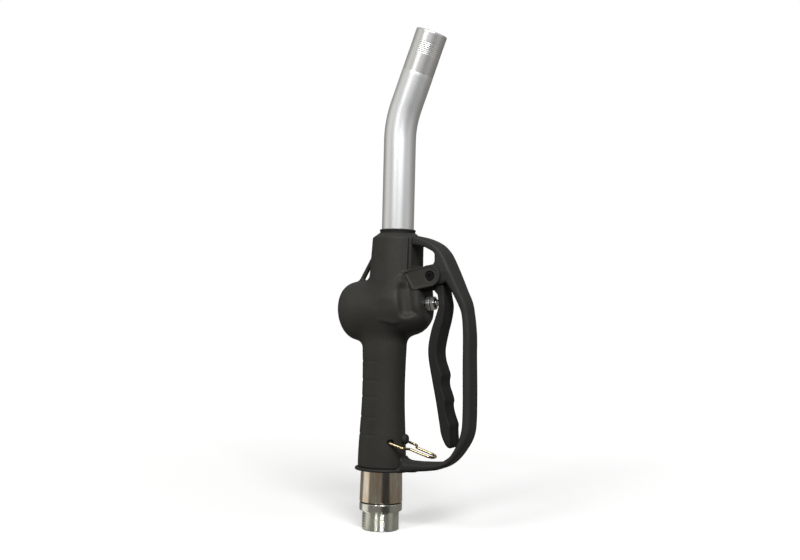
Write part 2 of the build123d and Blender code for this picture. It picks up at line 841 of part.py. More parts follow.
def make_gland_nut():
    """The hexagon nut that presses the packing: a threaded shank, a head and a nose."""
    bore = STEM_RADIUS + STEM_FIT
    with BuildPart() as gland_nut:
        add(tube_on_valve(GLAND_NUT_INNER, GLAND_BOSS_FRONT + 0.1, bore, STUFFING_RADIUS - 0.02))
        with BuildSketch(valve_cross(GLAND_BOSS_FRONT + 0.1)):
            RegularPolygon(GLAND_NUT_CORNER, 6)
            Circle(bore, mode=Mode.SUBTRACT)
        extrude(amount=GLAND_HEAD_END - GLAND_BOSS_FRONT - 0.1)
        add(tube_on_valve(GLAND_HEAD_END, LOCK_NUT_END, bore, GLAND_NOSE_RADIUS))
    write(gland_nut, "gland_nut")


def make_lock_nut():
    """The smaller hexagon nut on the gland nut's nose."""
    start = GLAND_HEAD_END + 0.5
    with BuildPart() as lock_nut:
        with BuildSketch(valve_cross(start)):
            RegularPolygon(LOCK_NUT_CORNER, 6)
            Circle(GLAND_NOSE_RADIUS + 0.02, mode=Mode.SUBTRACT)
        extrude(amount=LOCK_NUT_END - start)
    write(lock_nut, "lock_nut")


# ---------------------------------------------------------------- trigger


def trigger_inner_line():
    """Points down the trigger's grip side, from under the pivot to the tip."""
    return (
        (52.2, 217.5),
        (54.6, 208.5),
        (55.6, 202.0),
        (52.8, 192.0),
        (49.2, 180.5),
        (46.8, 166.0),
        (47.6, 154.4),
        (51.2, 137.1),
        (55.0, 119.9),
        (59.0, 99.4),
        (60.5, 91.8),
    )


def trigger_outer_line():
    """Points up the trigger's finger side, from the tip to beside the pivot, over three crests."""
    return (
        (69.3, 88.0),
        (68.8, 95.0),
        (68.9, 99.5),
        (66.6, 105.6),
        (64.8, 111.0),
        (64.0, 116.0),
        (64.4, 120.6),
        (62.4, 126.6),
        (60.4, 132.0),
        (59.9, 137.0),
        (60.4, 142.0),
        (58.6, 147.8),
        (56.3, 154.0),
        (55.2, 161.0),
        (55.6, 168.0),
        (58.0, 180.0),
        (60.3, 189.5),
        (61.9, 201.0),
        (60.6, 212.0),
        (58.6, 222.5),
    )


def trigger_side():
    """The trigger's side view as a solid as wide as the lever."""
    inner, outer = trigger_inner_line(), trigger_outer_line()
    with BuildPart() as solid:
        with BuildSketch(side_plane()):
            with BuildLine():
                down = Spline(*inner)
                tip = Spline(
                    down @ 1, (63.1, 85.4), (66.6, 80.2), (69.0, TRIGGER_BOTTOM), (69.9, 81.8), outer[0],
                    tangents=(down % 1, (0.05, 1)),
                )
                up = Spline(tip @ 1, *outer[1:])
                Line(up @ 1, down @ 0)
            make_face()
        extrude(amount=TRIGGER_HALF_WIDTH, both=True)
    return solid.part


def tip_corners():
    """What rounds the trigger's lower end off, seen from the front."""
    radius, centre = TRIGGER_TIP_RADIUS, TRIGGER_HALF_WIDTH - TRIGGER_TIP_RADIUS
    bottom = TRIGGER_BOTTOM - 0.2
    corners = []
    for side in (-1, 1):
        with BuildPart() as corner:
            with BuildSketch(Plane.YZ.offset(50)):
                with Locations((side * (centre + radius / 2 + 1), bottom + radius / 2 - 1)):
                    Rectangle(radius + 2, radius + 2)
                with Locations((side * centre, bottom + radius)):
                    Circle(radius, mode=Mode.SUBTRACT)
                with Locations((side * (centre - 2), bottom + radius / 2)):
                    Rectangle(4, radius + 4, mode=Mode.SUBTRACT)
            extrude(amount=30)
        corners.append(corner.part)
    return corners


def trigger_tongue():
    """The narrow head of the trigger: a barrel round the pivot and the web below it."""
    barrel_radius = 7.6
    web = side_slab(
        ((43.2, 223.5), (53.0, 213.0), (60.2, 211.0), (58.4, 222.6), (55.6, 232.0)), TONGUE_HALF_WIDTH
    )
    with BuildPart() as solid:
        add(y_rod(PIVOT_X, PIVOT_Z, barrel_radius, -TONGUE_HALF_WIDTH, TONGUE_HALF_WIDTH))
        add(web)
    return solid.part


def trigger_channel():
    """The hollow down the trigger's grip side, which leaves a U section to the tip."""
    front_wall = 2.8
    back = ((44.0, 189.0), (40.0, 165.0), (50.0, 92.0))
    front = [(x - front_wall, z) for x, z in trigger_outer_line() if 95 < z < 190]
    return side_slab((*back, *front), TRIGGER_HALF_WIDTH - TRIGGER_WALL)


def make_trigger_lever():
    """The finger lever: a waved front face, a hollow back and a narrow tongue on the pivot."""
    shoulder_height = 212.0
    lever_side, tongue, channel = trigger_side(), trigger_tongue(), trigger_channel()
    pad_hole = tube_on_valve(PAD_FACE - 4, PAD_FACE + PAD_DEPTH + 0.02, 0, PAD_RADIUS + 0.02)
    with BuildPart() as trigger_lever:
        add(lever_side)
        long_edges = trigger_lever.edges().filter_by(lambda e: e.length > 60)
        fillet(long_edges.group_by(Axis.X)[-1], 1.8)
        with BuildSketch(Plane.XY.offset(shoulder_height)):
            with Locations((55, TONGUE_HALF_WIDTH + 5), (55, -TONGUE_HALF_WIDTH - 5)):
                Rectangle(40, 10)
        extrude(amount=30, mode=Mode.SUBTRACT)
        add(tongue)
        add([channel, pad_hole, *tip_corners()], mode=Mode.SUBTRACT)
        add(y_rod(PIVOT_X, PIVOT_Z, BUSH_RADIUS + 0.02, -20, 20), mode=Mode.SUBTRACT)
    write(trigger_lever, "trigger_lever")


def make_trigger_bush():
    """The bush pressed through the trigger's tongue, which turns on the pivot screw."""
    with BuildPart() as trigger_bush:
        with BuildSketch(side_plane(TONGUE_HALF_WIDTH - 0.05)):
            with Locations((PIVOT_X, PIVOT_Z)):
                Circle(BUSH_RADIUS)
                Circle(PIVOT_RADIUS + PIVOT_FIT, mode=Mode.SUBTRACT)
        extrude(amount=2 * TONGUE_HALF_WIDTH - 0.1)
    write(trigger_bush, "trigger_bush")


def make_stem_pad():
    """The hardened pad let into the trigger's grip side where it meets the stem."""
    with BuildPart() as stem_pad:
        add(tube_on_valve(PAD_FACE, PAD_FACE + PAD_DEPTH, 0, PAD_RADIUS))
    write(stem_pad, "stem_pad")


def make_pivot_screw():
    """The shoulder screw that the trigger turns on, with a hexagon socket in its head."""
    seat = EAR_OUTER - EAR_RECESS
    with BuildPart() as pivot_screw:
        add(y_rod(PIVOT_X, PIVOT_Z, PIVOT_RADIUS, -seat, EAR_OUTER - 0.5))
        add(y_rod(PIVOT_X, PIVOT_Z, SCREW_HEAD_RADIUS, -EAR_OUTER + 0.3, -seat))
        with BuildSketch(side_plane(-seat)):
            with Locations((PIVOT_X, PIVOT_Z)):
                RegularPolygon(2.0, 6)
        extrude(amount=EAR_RECESS, mode=Mode.SUBTRACT)
    write(pivot_screw, "pivot_screw")


def make_pivot_nut():
    """The round nut on the pivot screw's far end."""
    with BuildPart() as pivot_nut:
        with BuildSketch(side_plane(EAR_OUTER - 0.2)):
            with Locations((PIVOT_X, PIVOT_Z)):
                Circle(SCREW_HEAD_RADIUS)
                Circle(PIVOT_RADIUS + 0.02, mode=Mode.SUBTRACT)
        extrude(amount=EAR_RECESS - 0.22)
    write(pivot_nut, "pivot_nut")


# ---------------------------------------------------------------- guard


def guard_band():
    """The guard's bow: up from under the grip, round the trigger and back to the pivot."""
    outer = (
        (30.0, 57.2),
        (47.7, 58.3),
        (57.3, 60.1),
        (65.6, 63.9),
        (72.6, 69.8),
        (79.4, 78.8),
        (84.5, 88.6),
        (86.6, 100.0),
        (86.7, 125.0),
        (85.7, 157.0),
        (85.0, 180.0),
        (81.5, 202.5),
        (74.8, 217.4),
        (67.1, 233.4),
        (61.1, 245.4),
    )
    inner = (
        (62.0, 222.6),
        (67.4, 214.5),
        (72.9, 204.1),
        (76.2, 195.0),
        (77.8, 178.0),
        (78.2, 150.0),
        (79.0, 110.0),
        (77.6, 92.0),
        (71.0, 76.5),
        (64.0, 69.2),
        (54.0, 65.7),
        (30.0, 64.6),
    )
    with BuildPart() as solid:
        with BuildSketch(side_plane()):
            with BuildLine():
                up = Spline(*outer)
                down = Spline(*inner)
                Line(up @ 1, down @ 0)
                Line(down @ 1, up @ 0)
            make_face()
        extrude(amount=HEAD_HALF_WIDTH, both=True)
    return solid.part


def guard_head():
    """The block above the pivot, where the bow closes against the neck."""
    with BuildPart() as solid:
        with BuildSketch(side_plane()):
            with BuildLine():
                crown = Spline(
                    (28.0, 264.6), (36.0, 263.0), (44.0, 260.3), (51.2, 256.6), (56.7, 251.6), (61.1, 245.4)
                )
                Polyline(crown @ 1, (62.0, 222.6), (58.8, 220.6), (49.4, 218.9), (28.0, 240.0), crown @ 0)
            make_face()
        extrude(amount=HEAD_HALF_WIDTH, both=True)
    return solid.part


def guard_window():
    """The rounded opening through the guard's head."""
    with BuildPart() as solid:
        with BuildSketch(side_plane()):
            with BuildLine():
                FilletPolyline(
                    (20.0, 236.9),
                    (47.0, 237.8),
                    (51.6, 239.4),
                    (51.6, 248.6),
                    (42.0, 253.4),
                    (34.0, 255.0),
                    (20.0, 255.2),
                    radius=1.6,
                    close=True,
                )
            make_face()
        extrude(amount=HEAD_HALF_WIDTH + 1, both=True)
    return solid.part


def guard_relief():
    """What the guard's blank loses: waist, trigger fork, neck, grip, pin hole and swivel hole."""
    waist_low, waist_high = 196.0, 232.0
    fork_half, fork_top = TONGUE_HALF_WIDTH + 0.4, 236.9
    waist = []
    for side in (-1, 1):
        with BuildPart() as wedge:
            with BuildSketch(Plane.YZ.offset(70)):
                with BuildLine():
                    Polyline(
                        (side * GUARD_HALF_WIDTH, 40),
                        (side * GUARD_HALF_WIDTH, waist_low),
                        (side * HEAD_HALF_WIDTH, waist_high),
                        (side * (HEAD_HALF_WIDTH + 5), waist_high),
                        (side * (HEAD_HALF_WIDTH + 5), 40),
                        close=True,
                    )
                make_face()
            extrude(amount=60, both=True)
        waist.append(wedge.part)
    fork = side_slab(((20, 210), (60.4, 210), (60.4, fork_top), (20, fork_top)), fork_half)
    below_lug = side_slab(((20, 210), (41.5, 210), (41.5, 236.9), (20, 236.9)), 20)
    neck = neck_solid(0.2)
    pad = side_slab(((12, 214), (28.6, 214), (28.6, 258.8), (12, 258.8)), 20)
    pin = y_rod(PIVOT_X, PIVOT_Z, PIVOT_RADIUS + 0.1, -20, 20)
    swivel = turned_on_z(((0, 40), (TAIL_RADIUS + 0.1, 40), (TAIL_RADIUS + 0.1, 90), (0, 90)))
    return [*waist, fork, below_lug, neck, pad, pin, swivel, grip_clearance()]


def grip_clearance():
    """The grip's foot grown by a hair, to fit the guard's heel against it."""
    hair = 0.15
    with BuildPart() as solid:
        for height, half_x, half_y in GRIP_SECTIONS:
            with BuildSketch(Plane.XY.offset(height - hair)):
                Ellipse(half_x + hair, half_y + hair)
        loft()
    return solid.part


def guard_foot():
    """The oval ring clamped under the grip and the heel that runs up the grip's front."""
    ring_top, ring_bottom = GRIP_BOTTOM, SLEEVE_TOP + 0.02
    heel = side_slab(
        ((14, 57), (34, 57), (34, 65.6), (26.5, 65.8), (24.2, 67.0), (22.9, 69.4), (21.6, 74.0), (14, 74)),
        GUARD_HALF_WIDTH,
    )
    with BuildPart() as ring:
        with BuildSketch(Plane.XY.offset(ring_bottom)):
            Ellipse(RING_HALF_X, RING_HALF_Y)
        extrude(amount=ring_top - ring_bottom - 0.12)
        fillet(ring.edges().group_by(Axis.Z)[0], 1.4)
        fillet(ring.edges().group_by(Axis.Z)[-1], 0.8)
    return [ring.part, heel]


def make_guard():
    """The lever guard, moulded in one piece from the ring under the grip to the fork."""
    blanks = [guard_band(), guard_head(), *guard_foot()]
    relief = [guard_window(), *guard_relief()]
    with BuildPart() as guard:
        add(blanks)
        add(relief, mode=Mode.SUBTRACT)
    write(guard, "guard")


# ---------------------------------------------------------------- latch


def make_latch_wire():
    """The hold-open latch: one bent wire, its ends turned into the grip's sides."""
    end_half = EYELET_INNER + 0.2
    jog_start, jog_end = 13.6, 17.0
    plane = Plane(
        origin=(LATCH_X, 0, LATCH_Z),
        x_dir=(cos(LATCH_REST), 0, -sin(LATCH_REST)),
        z_dir=(sin(LATCH_REST), 0, cos(LATCH_REST)),
    )
    half = [
        (0, end_half),
        (0, LATCH_HALF_WIDTH),
        (jog_start, LATCH_HALF_WIDTH),
        (jog_end, LATCH_NOSE_HALF_WIDTH),
        (LATCH_LENGTH, LATCH_NOSE_HALF_WIDTH),
    ]
    route = half + [(u, -v) for u, v in reversed(half)]
    bends = (1.3, 2.0, 2.0, 6.0)
    with BuildPart() as latch_wire:
        with BuildLine(plane) as wire_line:
            FilletPolyline(*route, radius=(*bends, *reversed(bends)))
        with BuildSketch(Plane(origin=wire_line.line @ 0, z_dir=wire_line.line % 0)):
            Circle(LATCH_WIRE_RADIUS)
        sweep(path=wire_line.line)
    write(latch_wire, "latch_wire")


def make_latch_eyelets():
    """The two eyelets in the grip that the latch wire turns in."""
    with BuildPart() as latch_eyelets:
        for side in (-1, 1):
            start, end = ordered(side, (EYELET_INNER, EYELET_OUTER))
            with BuildSketch(side_plane(end)):
                with Locations((LATCH_X, LATCH_Z)):
                    Circle(EYELET_RADIUS - 0.02)
                    Circle(LATCH_WIRE_RADIUS + 0.05, mode=Mode.SUBTRACT)
            extrude(amount=end - start)
    write(latch_eyelets, "latch_eyelets")


def make_trigger_stop():
    """The rubber stop on the front of the grip, with its stalk in the casting."""
    half_width, front = 4.0, 26.0
    with BuildPart() as trigger_stop:
        add(y_rod(front, STOP_Z, STOP_RADIUS, -half_width, half_width))
        add(
            side_slab(
                (
                    (21.5, STOP_Z - STOP_RADIUS + 0.3),
                    (front, STOP_Z - STOP_RADIUS),
                    (front, STOP_Z + STOP_RADIUS),
                    (21.5, STOP_Z + STOP_RADIUS - 0.3),
                ),
                half_width,
            )
        )
        with BuildSketch(Plane.YZ.offset(STOP_STALK_END)):
            with Locations((0, STOP_Z)):
                Circle(STOP_STALK_RADIUS - 0.02)
        extrude(amount=front - STOP_STALK_END)
    write(trigger_stop, "trigger_stop")


def main():
    """Make every piece and write it to parts/."""
    os.makedirs("parts", exist_ok=True)
    for make in (
        make_body_casting,
        make_swivel_adapter,
        make_swivel_sleeve,
        make_swivel_balls,
        make_ball_plug,
        make_swivel_seal,
        make_wiper_ring,
        make_inlet_strainer,
        make_spout_tube,
        make_spout_collar,
        make_spout_seal,
        make_flow_straightener,
        make_valve_cap,
        make_cap_seal,
        make_main_spring,
        make_seat_ring,
        make_poppet,
        make_poppet_seal,
        make_poppet_nut,
        make_valve_stem,
        make_gland_packing,
        make_gland_nut,
        make_lock_nut,
        make_trigger_lever,
        make_trigger_bush,
        make_stem_pad,
        make_pivot_screw,
        make_pivot_nut,
        make_guard,
        make_latch_wire,
        make_latch_eyelets,
        make_trigger_stop,
    ):
        make()


main()
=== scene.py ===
"""The fuel nozzle's looks: smooth cast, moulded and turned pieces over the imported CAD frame.

Sizes are in millimetres. As in the CAD source, heights are measured from a datum DATUM below the
frame's origin, and every mesh is lowered by that much and scaled to metres when it is placed.
The cast and moulded parts are made as signed distance fields, negative inside, which blend into
each other with soft fillets; their zero surface is then meshed.
"""

import json
import math

import bmesh
import bpy
import numpy as np
from mathutils import Matrix, Vector

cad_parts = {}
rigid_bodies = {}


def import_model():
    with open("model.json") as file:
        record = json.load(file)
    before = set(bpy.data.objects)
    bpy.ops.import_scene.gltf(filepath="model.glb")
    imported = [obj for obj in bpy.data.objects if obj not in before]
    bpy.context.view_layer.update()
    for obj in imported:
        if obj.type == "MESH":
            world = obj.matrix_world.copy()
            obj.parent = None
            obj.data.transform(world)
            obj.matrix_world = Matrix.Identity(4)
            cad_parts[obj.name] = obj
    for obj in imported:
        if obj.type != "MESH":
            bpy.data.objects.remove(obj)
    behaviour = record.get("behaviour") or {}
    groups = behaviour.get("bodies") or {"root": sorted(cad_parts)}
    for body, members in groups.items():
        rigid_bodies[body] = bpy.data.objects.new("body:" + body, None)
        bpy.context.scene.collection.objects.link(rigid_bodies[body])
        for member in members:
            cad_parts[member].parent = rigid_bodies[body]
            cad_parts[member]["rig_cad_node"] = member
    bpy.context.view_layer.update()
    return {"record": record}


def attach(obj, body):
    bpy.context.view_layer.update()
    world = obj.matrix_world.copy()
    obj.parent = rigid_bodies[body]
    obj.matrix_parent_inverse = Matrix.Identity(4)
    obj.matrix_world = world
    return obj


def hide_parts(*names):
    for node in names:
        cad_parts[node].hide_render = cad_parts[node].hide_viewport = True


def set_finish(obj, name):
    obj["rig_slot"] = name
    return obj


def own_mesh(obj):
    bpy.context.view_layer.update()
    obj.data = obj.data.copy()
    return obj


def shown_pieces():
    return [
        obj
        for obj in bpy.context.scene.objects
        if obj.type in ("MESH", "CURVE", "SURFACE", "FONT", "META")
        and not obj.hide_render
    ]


DATUM = 2.5
MM = 0.001

# Grip and valve drum
GRIP_BOTTOM = 58.0
GRIP_HEIGHTS = (58.0, 86.0, 121.0, 150.0, 182.0)
GRIP_HALF_X = (21.9, 21.1, 19.6, 19.8, 20.6)
GRIP_HALF_Y = (19.6, 18.9, 17.5, 17.6, 18.4)
GRIP_GROOVES = (87.0, 102.5, 120.6, 135.0, 152.0)
VALVE_HEIGHT = 199.3
VALVE_TILT = math.radians(6.5)
DRUM_RADIUS = 26.9
DRUM_REAR = -21.0
DRUM_SHOULDER = 19.0
DRUM_FRONT = 33.0
DRUM_FRONT_RADIUS = 18.5
CAP_SEAM = -30.0
CAP_END = -41.6
DOME_POWER = 2.8
BOSS_RADIUS = 18.6
BOSS_START = 30.4
BOSS_FRONT = 41.0
BOSS_ROUND = 4.5

# Neck and spout
SPOUT_X = 10.3
NECK_TOP = 267.4
NECK_PROFILE = ((24.6, 205.0), (24.6, 222.0), (22.3, 261.0), (18.5, 265.8), (16.9, 267.4))
SPOUT_RADIUS = 14.35
SPOUT_BORE = 12.4
MOUTH_RADIUS = 16.1
SPOUT_FOOT = 240.2
BEND_HEIGHT = 366.0
BEND_RADIUS = 90.0
BEND_ANGLE = math.radians(19.9)
TIP_RUN = 84.9
TIP_BAND = 9.0
TIP_THREAD = 12.8
TIP_PITCH = 1.6
TIP_DEPTH = 0.12
TURNED_OFF = 0.08
BRIGHT_RUN = 38.0

# Pivot, ears and trigger
PIVOT = (49.4, 227.9)
EAR_RADIUS = 9.3
EAR_TILT = math.radians(11.0)
EAR_INNER = 14.2
EAR_OUTER = 17.5
TRIGGER_HALF = 12.0
TONGUE_HALF = 10.0
TRIGGER_BOTTOM = 79.0
TRIGGER_TIP_RADIUS = 4.0

# Guard
GUARD_HALF = 10.5
HEAD_HALF = 14.0
RING_HALF_X = 24.5
RING_HALF_Y = 22.1

# Rubber stop and gland nuts; each nut is its two faces' places, corner radius and bore radius
STOP_HEIGHT = 83.8
STOP_KNOB = 4.6
GLAND_NOSE = 4.4
GLAND_NUT = (41.1, 45.0, 7.0, 5.2)
LOCK_NUT = (45.5, 48.8, 6.6, 4.45)

# Main spring
SPRING_WIRE = 0.9
SPRING_RADIUS = 8.0
SPRING_TURNS = 6
POPPET_BACK = -9.0

# Swivel
THREAD_RADIUS = 16.625
THREAD_START = 2.5
THREAD_TOP = 19.6
THREAD_PITCH = 2.309
THREAD_DEPTH = 1.15
COLLAR_RADIUS = 19.0
COLLAR_TOP = 26.5
SLEEVE_BOTTOM = 27.5
SLEEVE_TOP = 54.9
SLEEVE_RADIUS = 19.1
SLEEVE_TAPER = 0.6

# Camera, fitted to the photograph's viewing angle
CAMERA_DISTANCE = 1000.0
CAMERA_AZIMUTH = math.radians(25.1)
CAMERA_HEIGHT = 186.6
CAMERA_YAW = math.radians(-0.71)
CAMERA_PITCH = math.radians(2.06)
CAMERA_ROLL = math.radians(1.37)
CAMERA_LENS = 50.09


# ------------------------------------------------------------------ distance fields


class Grid:
    """Sample points of a box, as three arrays that broadcast against each other."""

    def __init__(self, low, high, step):
        self.low = np.array(low, np.float32)
        self.step = step
        axes = [np.arange(a, b + step, step, dtype=np.float32) for a, b in zip(low, high)]
        self.x, self.y, self.z = np.meshgrid(*axes, indexing="ij", sparse=True)
        self.side = np.abs(self.y)
        self.along = self.x * math.cos(VALVE_TILT) + (self.z - VALVE_HEIGHT) * math.sin(VALVE_TILT)
        self.up = (self.z - VALVE_HEIGHT) * math.cos(VALVE_TILT) - self.x * math.sin(VALVE_TILT)
        self.from_valve = np.hypot(self.up, self.y)
        self.from_spout = np.hypot(self.x - SPOUT_X, self.y)


def union(a, b, blend=0.0):
    """The nearer of two fields, with a fillet about as wide as blend where they meet."""
    if blend <= 0:
        return np.minimum(a, b)
    share = np.clip(0.5 + 0.5 * (b - a) / blend, 0, 1)
    return b + (a - b) * share - blend * share * (1 - share)


def cut(a, b, blend=0.0):
    """Field a with b taken out of it."""
    return -union(-a, b, blend)


def common(a, b, blend=0.0):
    """What is in both fields."""
    return -union(-a, -b, blend)


def outline_distance(px, pz, points):
    """Signed distance from sample points to a closed outline."""
    px, pz = np.broadcast_arrays(px, pz)
    nearest = np.full(px.shape, 1e9, np.float32)
    inside = np.zeros(px.shape, bool)
    for (ax, az), (bx, bz) in zip(points, [*points[1:], points[0]]):
        ex, ez = bx - ax, bz - az
        wx, wz = px - ax, pz - az
        share = np.clip((wx * ex + wz * ez) / max(ex * ex + ez * ez, 1e-12), 0, 1)
        nearest = np.minimum(nearest, (wx - ex * share) ** 2 + (wz - ez * share) ** 2)
        if ez != 0:
            inside ^= ((az > pz) != (bz > pz)) & (px < ax + (pz - az) * ex / ez)
    return np.sqrt(nearest) * np.where(inside, -1, 1).astype(np.float32)


def extruded(outline, across, half, rounding=0.0):
    """A flat outline's field made as thick as half each way, with rounded long edges."""
    a, b = outline + rounding, across - half + rounding
    outside = np.hypot(np.maximum(a, 0), np.maximum(b, 0))
    return np.minimum(np.maximum(a, b), 0) + outside - rounding


def turned(profile, along, radius, step=0.25):
    """The field of a solid of revolution, from (along, radius) points ending on the axis."""
    mirrored = [*profile, *[(a, -r) for a, r in reversed(profile)]]
    low_a, low_r = float(along.min()) - step, float(radius.min()) - step
    count_a = int((float(along.max()) - low_a) / step) + 3
    count_r = int((float(radius.max()) - low_r) / step) + 3
    table_a = low_a + step * np.arange(count_a, dtype=np.float32)
    table_r = low_r + step * np.arange(count_r, dtype=np.float32)
    table = outline_distance(table_a[:, None], table_r[None, :], mirrored)
    fa, fr = (along - low_a) / step, (radius - low_r) / step
    ia, ir = fa.astype(np.int32), fr.astype(np.int32)
    fa, fr = fa - ia, fr - ir
    low = table[ia, ir] * (1 - fa) + table[ia + 1, ir] * fa
    high = table[ia, ir + 1] * (1 - fa) + table[ia + 1, ir + 1] * fa
    return low * (1 - fr) + high * fr


def smooth_line(points, steps=8):
    """A smooth curve through points (Catmull-Rom), as a list of points."""
    p = np.array([points[0], *points, points[-1]], float)
    line = []
    for a, b, c, d in zip(p, p[1:], p[2:], p[3:]):
        for t in np.arange(steps) / steps:
            near = 2 * b + (c - a) * t + (2 * a - 5 * b + 4 * c - d) * t**2
            line.append(tuple(0.5 * (near + (3 * b - a - 3 * c + d) * t**3)))
    return [*line, tuple(points[-1])]


def arc(centre, radius, start, end, count=12):
    """Points on a circular arc, angles in degrees."""
    angles = np.radians(np.linspace(start, end, count))
    return [(centre[0] + radius * math.cos(a), centre[1] + radius * math.sin(a)) for a in angles]


def surface_mesh(field, grid):
    """Vertices and quads of a field's zero surface (surface nets)."""
    inside = field < 0
    size = field.shape
    offsets = [(i, j, k) for i in (0, 1) for j in (0, 1) for k in (0, 1)]
    parts = [tuple(slice(o, n - 1 + o) for o, n in zip(off, size)) for off in offsets]
    filled = sum(inside[p].astype(np.int8) for p in parts)
    active = (filled > 0) & (filled < 8)
    index = np.full(active.shape, -1, np.int64)
    index[active] = np.arange(int(active.sum()))
    values = np.stack([field[p][active] for p in parts])
    corners = np.array(offsets, np.float32)
    total = np.zeros((values.shape[1], 3), np.float32)
    hits = np.zeros(values.shape[1], np.float32)
    for a in range(8):
        for b in range(a + 1, 8):
            if np.abs(corners[a] - corners[b]).sum() != 1:
                continue
            crossing = (values[a] < 0) != (values[b] < 0)
            share = np.where(crossing, values[a] / np.where(crossing, values[a] - values[b], 1), 0)
            point = corners[a] + share[:, None] * (corners[b] - corners[a])
            total += np.where(crossing[:, None], point, 0)
            hits += crossing
    vertices = grid.low + grid.step * (np.argwhere(active) + total / hits[:, None])
    quads = []
    for axis in range(3):
        u, v = (axis + 1) % 3, (axis + 2) % 3
        here = [slice(1, n - 1) for n in size]
        here[axis] = slice(0, size[axis] - 1)
        ahead = list(here)
        ahead[axis] = slice(1, size[axis])
        first, second = inside[tuple(here)], inside[tuple(ahead)]
        cells = []
        for du, dv in ((-1, -1), (0, -1), (0, 0), (-1, 0)):
            part = list(here)
            part[u] = slice(1 + du, size[u] - 1 + du)
            part[v] = slice(1 + dv, size[v] - 1 + dv)
            cells.append(index[tuple(part)])
        faces = np.stack(cells, -1)
        quads.append(faces[first & ~second])
        quads.append(faces[~first & second][:, ::-1])
    return vertices, np.concatenate(quads)


# ------------------------------------------------------------------ meshes


def place(name, vertices, faces, body, *nodes, slot=None):
    """A shaded mesh piece from millimetre points, riding on a body in place of CAD nodes."""
    mesh = bpy.data.meshes.new(name)
    points = (np.asarray(vertices, float) - (0, 0, DATUM)) * MM
    mesh.from_pydata(points.tolist(), [], [list(map(int, f)) for f in faces])
    mesh.validate()
    mesh.update()
    piece = bpy.data.objects.new(name, mesh)
    bpy.context.scene.collection.objects.link(piece)
    finish_mesh(piece)
    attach(piece, body)
    if nodes:
        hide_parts(*nodes)
    if slot:
        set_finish(piece, slot)
    return piece


def finish_mesh(piece):
    """Make the normals face outwards and shade the mesh smooth."""
    bm = bmesh.new()
    bm.from_mesh(piece.data)
    bmesh.ops.recalc_face_normals(bm, faces=bm.faces)
    bm.to_mesh(piece.data)
    bm.free()
    piece.data.polygons.foreach_set("use_smooth", [True] * len(piece.data.polygons))
    piece.data.update()


def ring_mesh(rings):
    """Vertices and quads of closed rings joined one to the next, and the last to the first."""
    count, segments = len(rings), len(rings[0])
    vertices = np.concatenate(rings)
    faces = []
    for i in range(count):
        following = (i + 1) % count
        for j in range(segments):
            ahead = (j + 1) % segments
            faces.append(
                (
                    i * segments + j,
                    i * segments + ahead,
                    following * segments + ahead,
                    following * segments + j,
                )
            )
    return vertices, faces


def turn_angles(segments):
    """Evenly spaced angles round a circle."""
    return np.arange(segments) * 2 * math.pi / segments


def level_ring(height, radius, segments=96):
    """A circle of points round the Z axis; radius may be an array, one value per point."""
    angles = turn_angles(segments)
    radius = np.broadcast_to(radius, angles.shape)
    return np.stack([radius * np.cos(angles), radius * np.sin(angles), np.full(segments, height)], 1)


def thread_wave(height, angles, pitch):
    """Depth of a V thread, 0 at its crest and 1 at its root, with crest and root rounded."""
    phase = (height / pitch - angles / (2 * math.pi)) % 1.0
    wave = np.abs(phase * 2 - 1)
    return wave * wave * (3 - 2 * wave)


# ------------------------------------------------------------------ body casting


def drum_profile():
    """The drum's profile from the tip of its domed rear to its front face."""
    dome_length = DRUM_REAR - CAP_END
    dome = []
    for share in np.cos(np.linspace(0, math.pi / 2, 24)):
        radius = DRUM_RADIUS * (1 - share**DOME_POWER) ** (1 / DOME_POWER)
        dome.append((DRUM_REAR - dome_length * share, radius))
    run, drop = DRUM_FRONT - DRUM_SHOULDER, DRUM_RADIUS - DRUM_FRONT_RADIUS
    bend = (run * run + drop * drop) / (2 * drop)
    end = math.degrees(math.asin((bend - drop) / bend))
    shoulder = arc((DRUM_SHOULDER, DRUM_RADIUS - bend), bend, 90, end)
    return [*dome, *shoulder, (DRUM_FRONT, 0)]


def grip_field(g, grow=0.0):
    """The oval grip, with shallow finger grooves across its back."""
    scale = np.array(GRIP_HEIGHTS) / 100
    half_x = np.polyval(np.polyfit(scale, GRIP_HALF_X, 4), g.z / 100) + grow
    half_y = np.polyval(np.polyfit(scale, GRIP_HALF_Y, 4), g.z / 100) + grow
    near = np.hypot(g.x / half_x, g.y / half_y)
    oval = near * (near - 1) / np.maximum(np.hypot(g.x / half_x**2, g.y / half_y**2), 1e-6)
    behind = np.clip(0.5 - g.x / 8, 0, 1)
    for height in GRIP_GROOVES:
        oval = oval + 0.5 * behind * np.exp(-(((g.z - height) / 0.8) ** 2))
    ends = np.maximum(GRIP_BOTTOM - grow - g.z, g.z - 196)
    return common(oval, ends, 1.0).astype(np.float32)


def neck_field(g, grow=0.0, edge=2.0):
    """The tapered neck, its shoulder and mouth softly rounded."""
    profile = [(z - (edge if z > 262 else 0), r - edge) for r, z in NECK_PROFILE]
    profile = [(205, 0), *profile, (NECK_TOP - edge, 0)]
    return turned(profile, g.z + 0 * g.from_spout, g.from_spout + 0 * g.z) - edge - grow


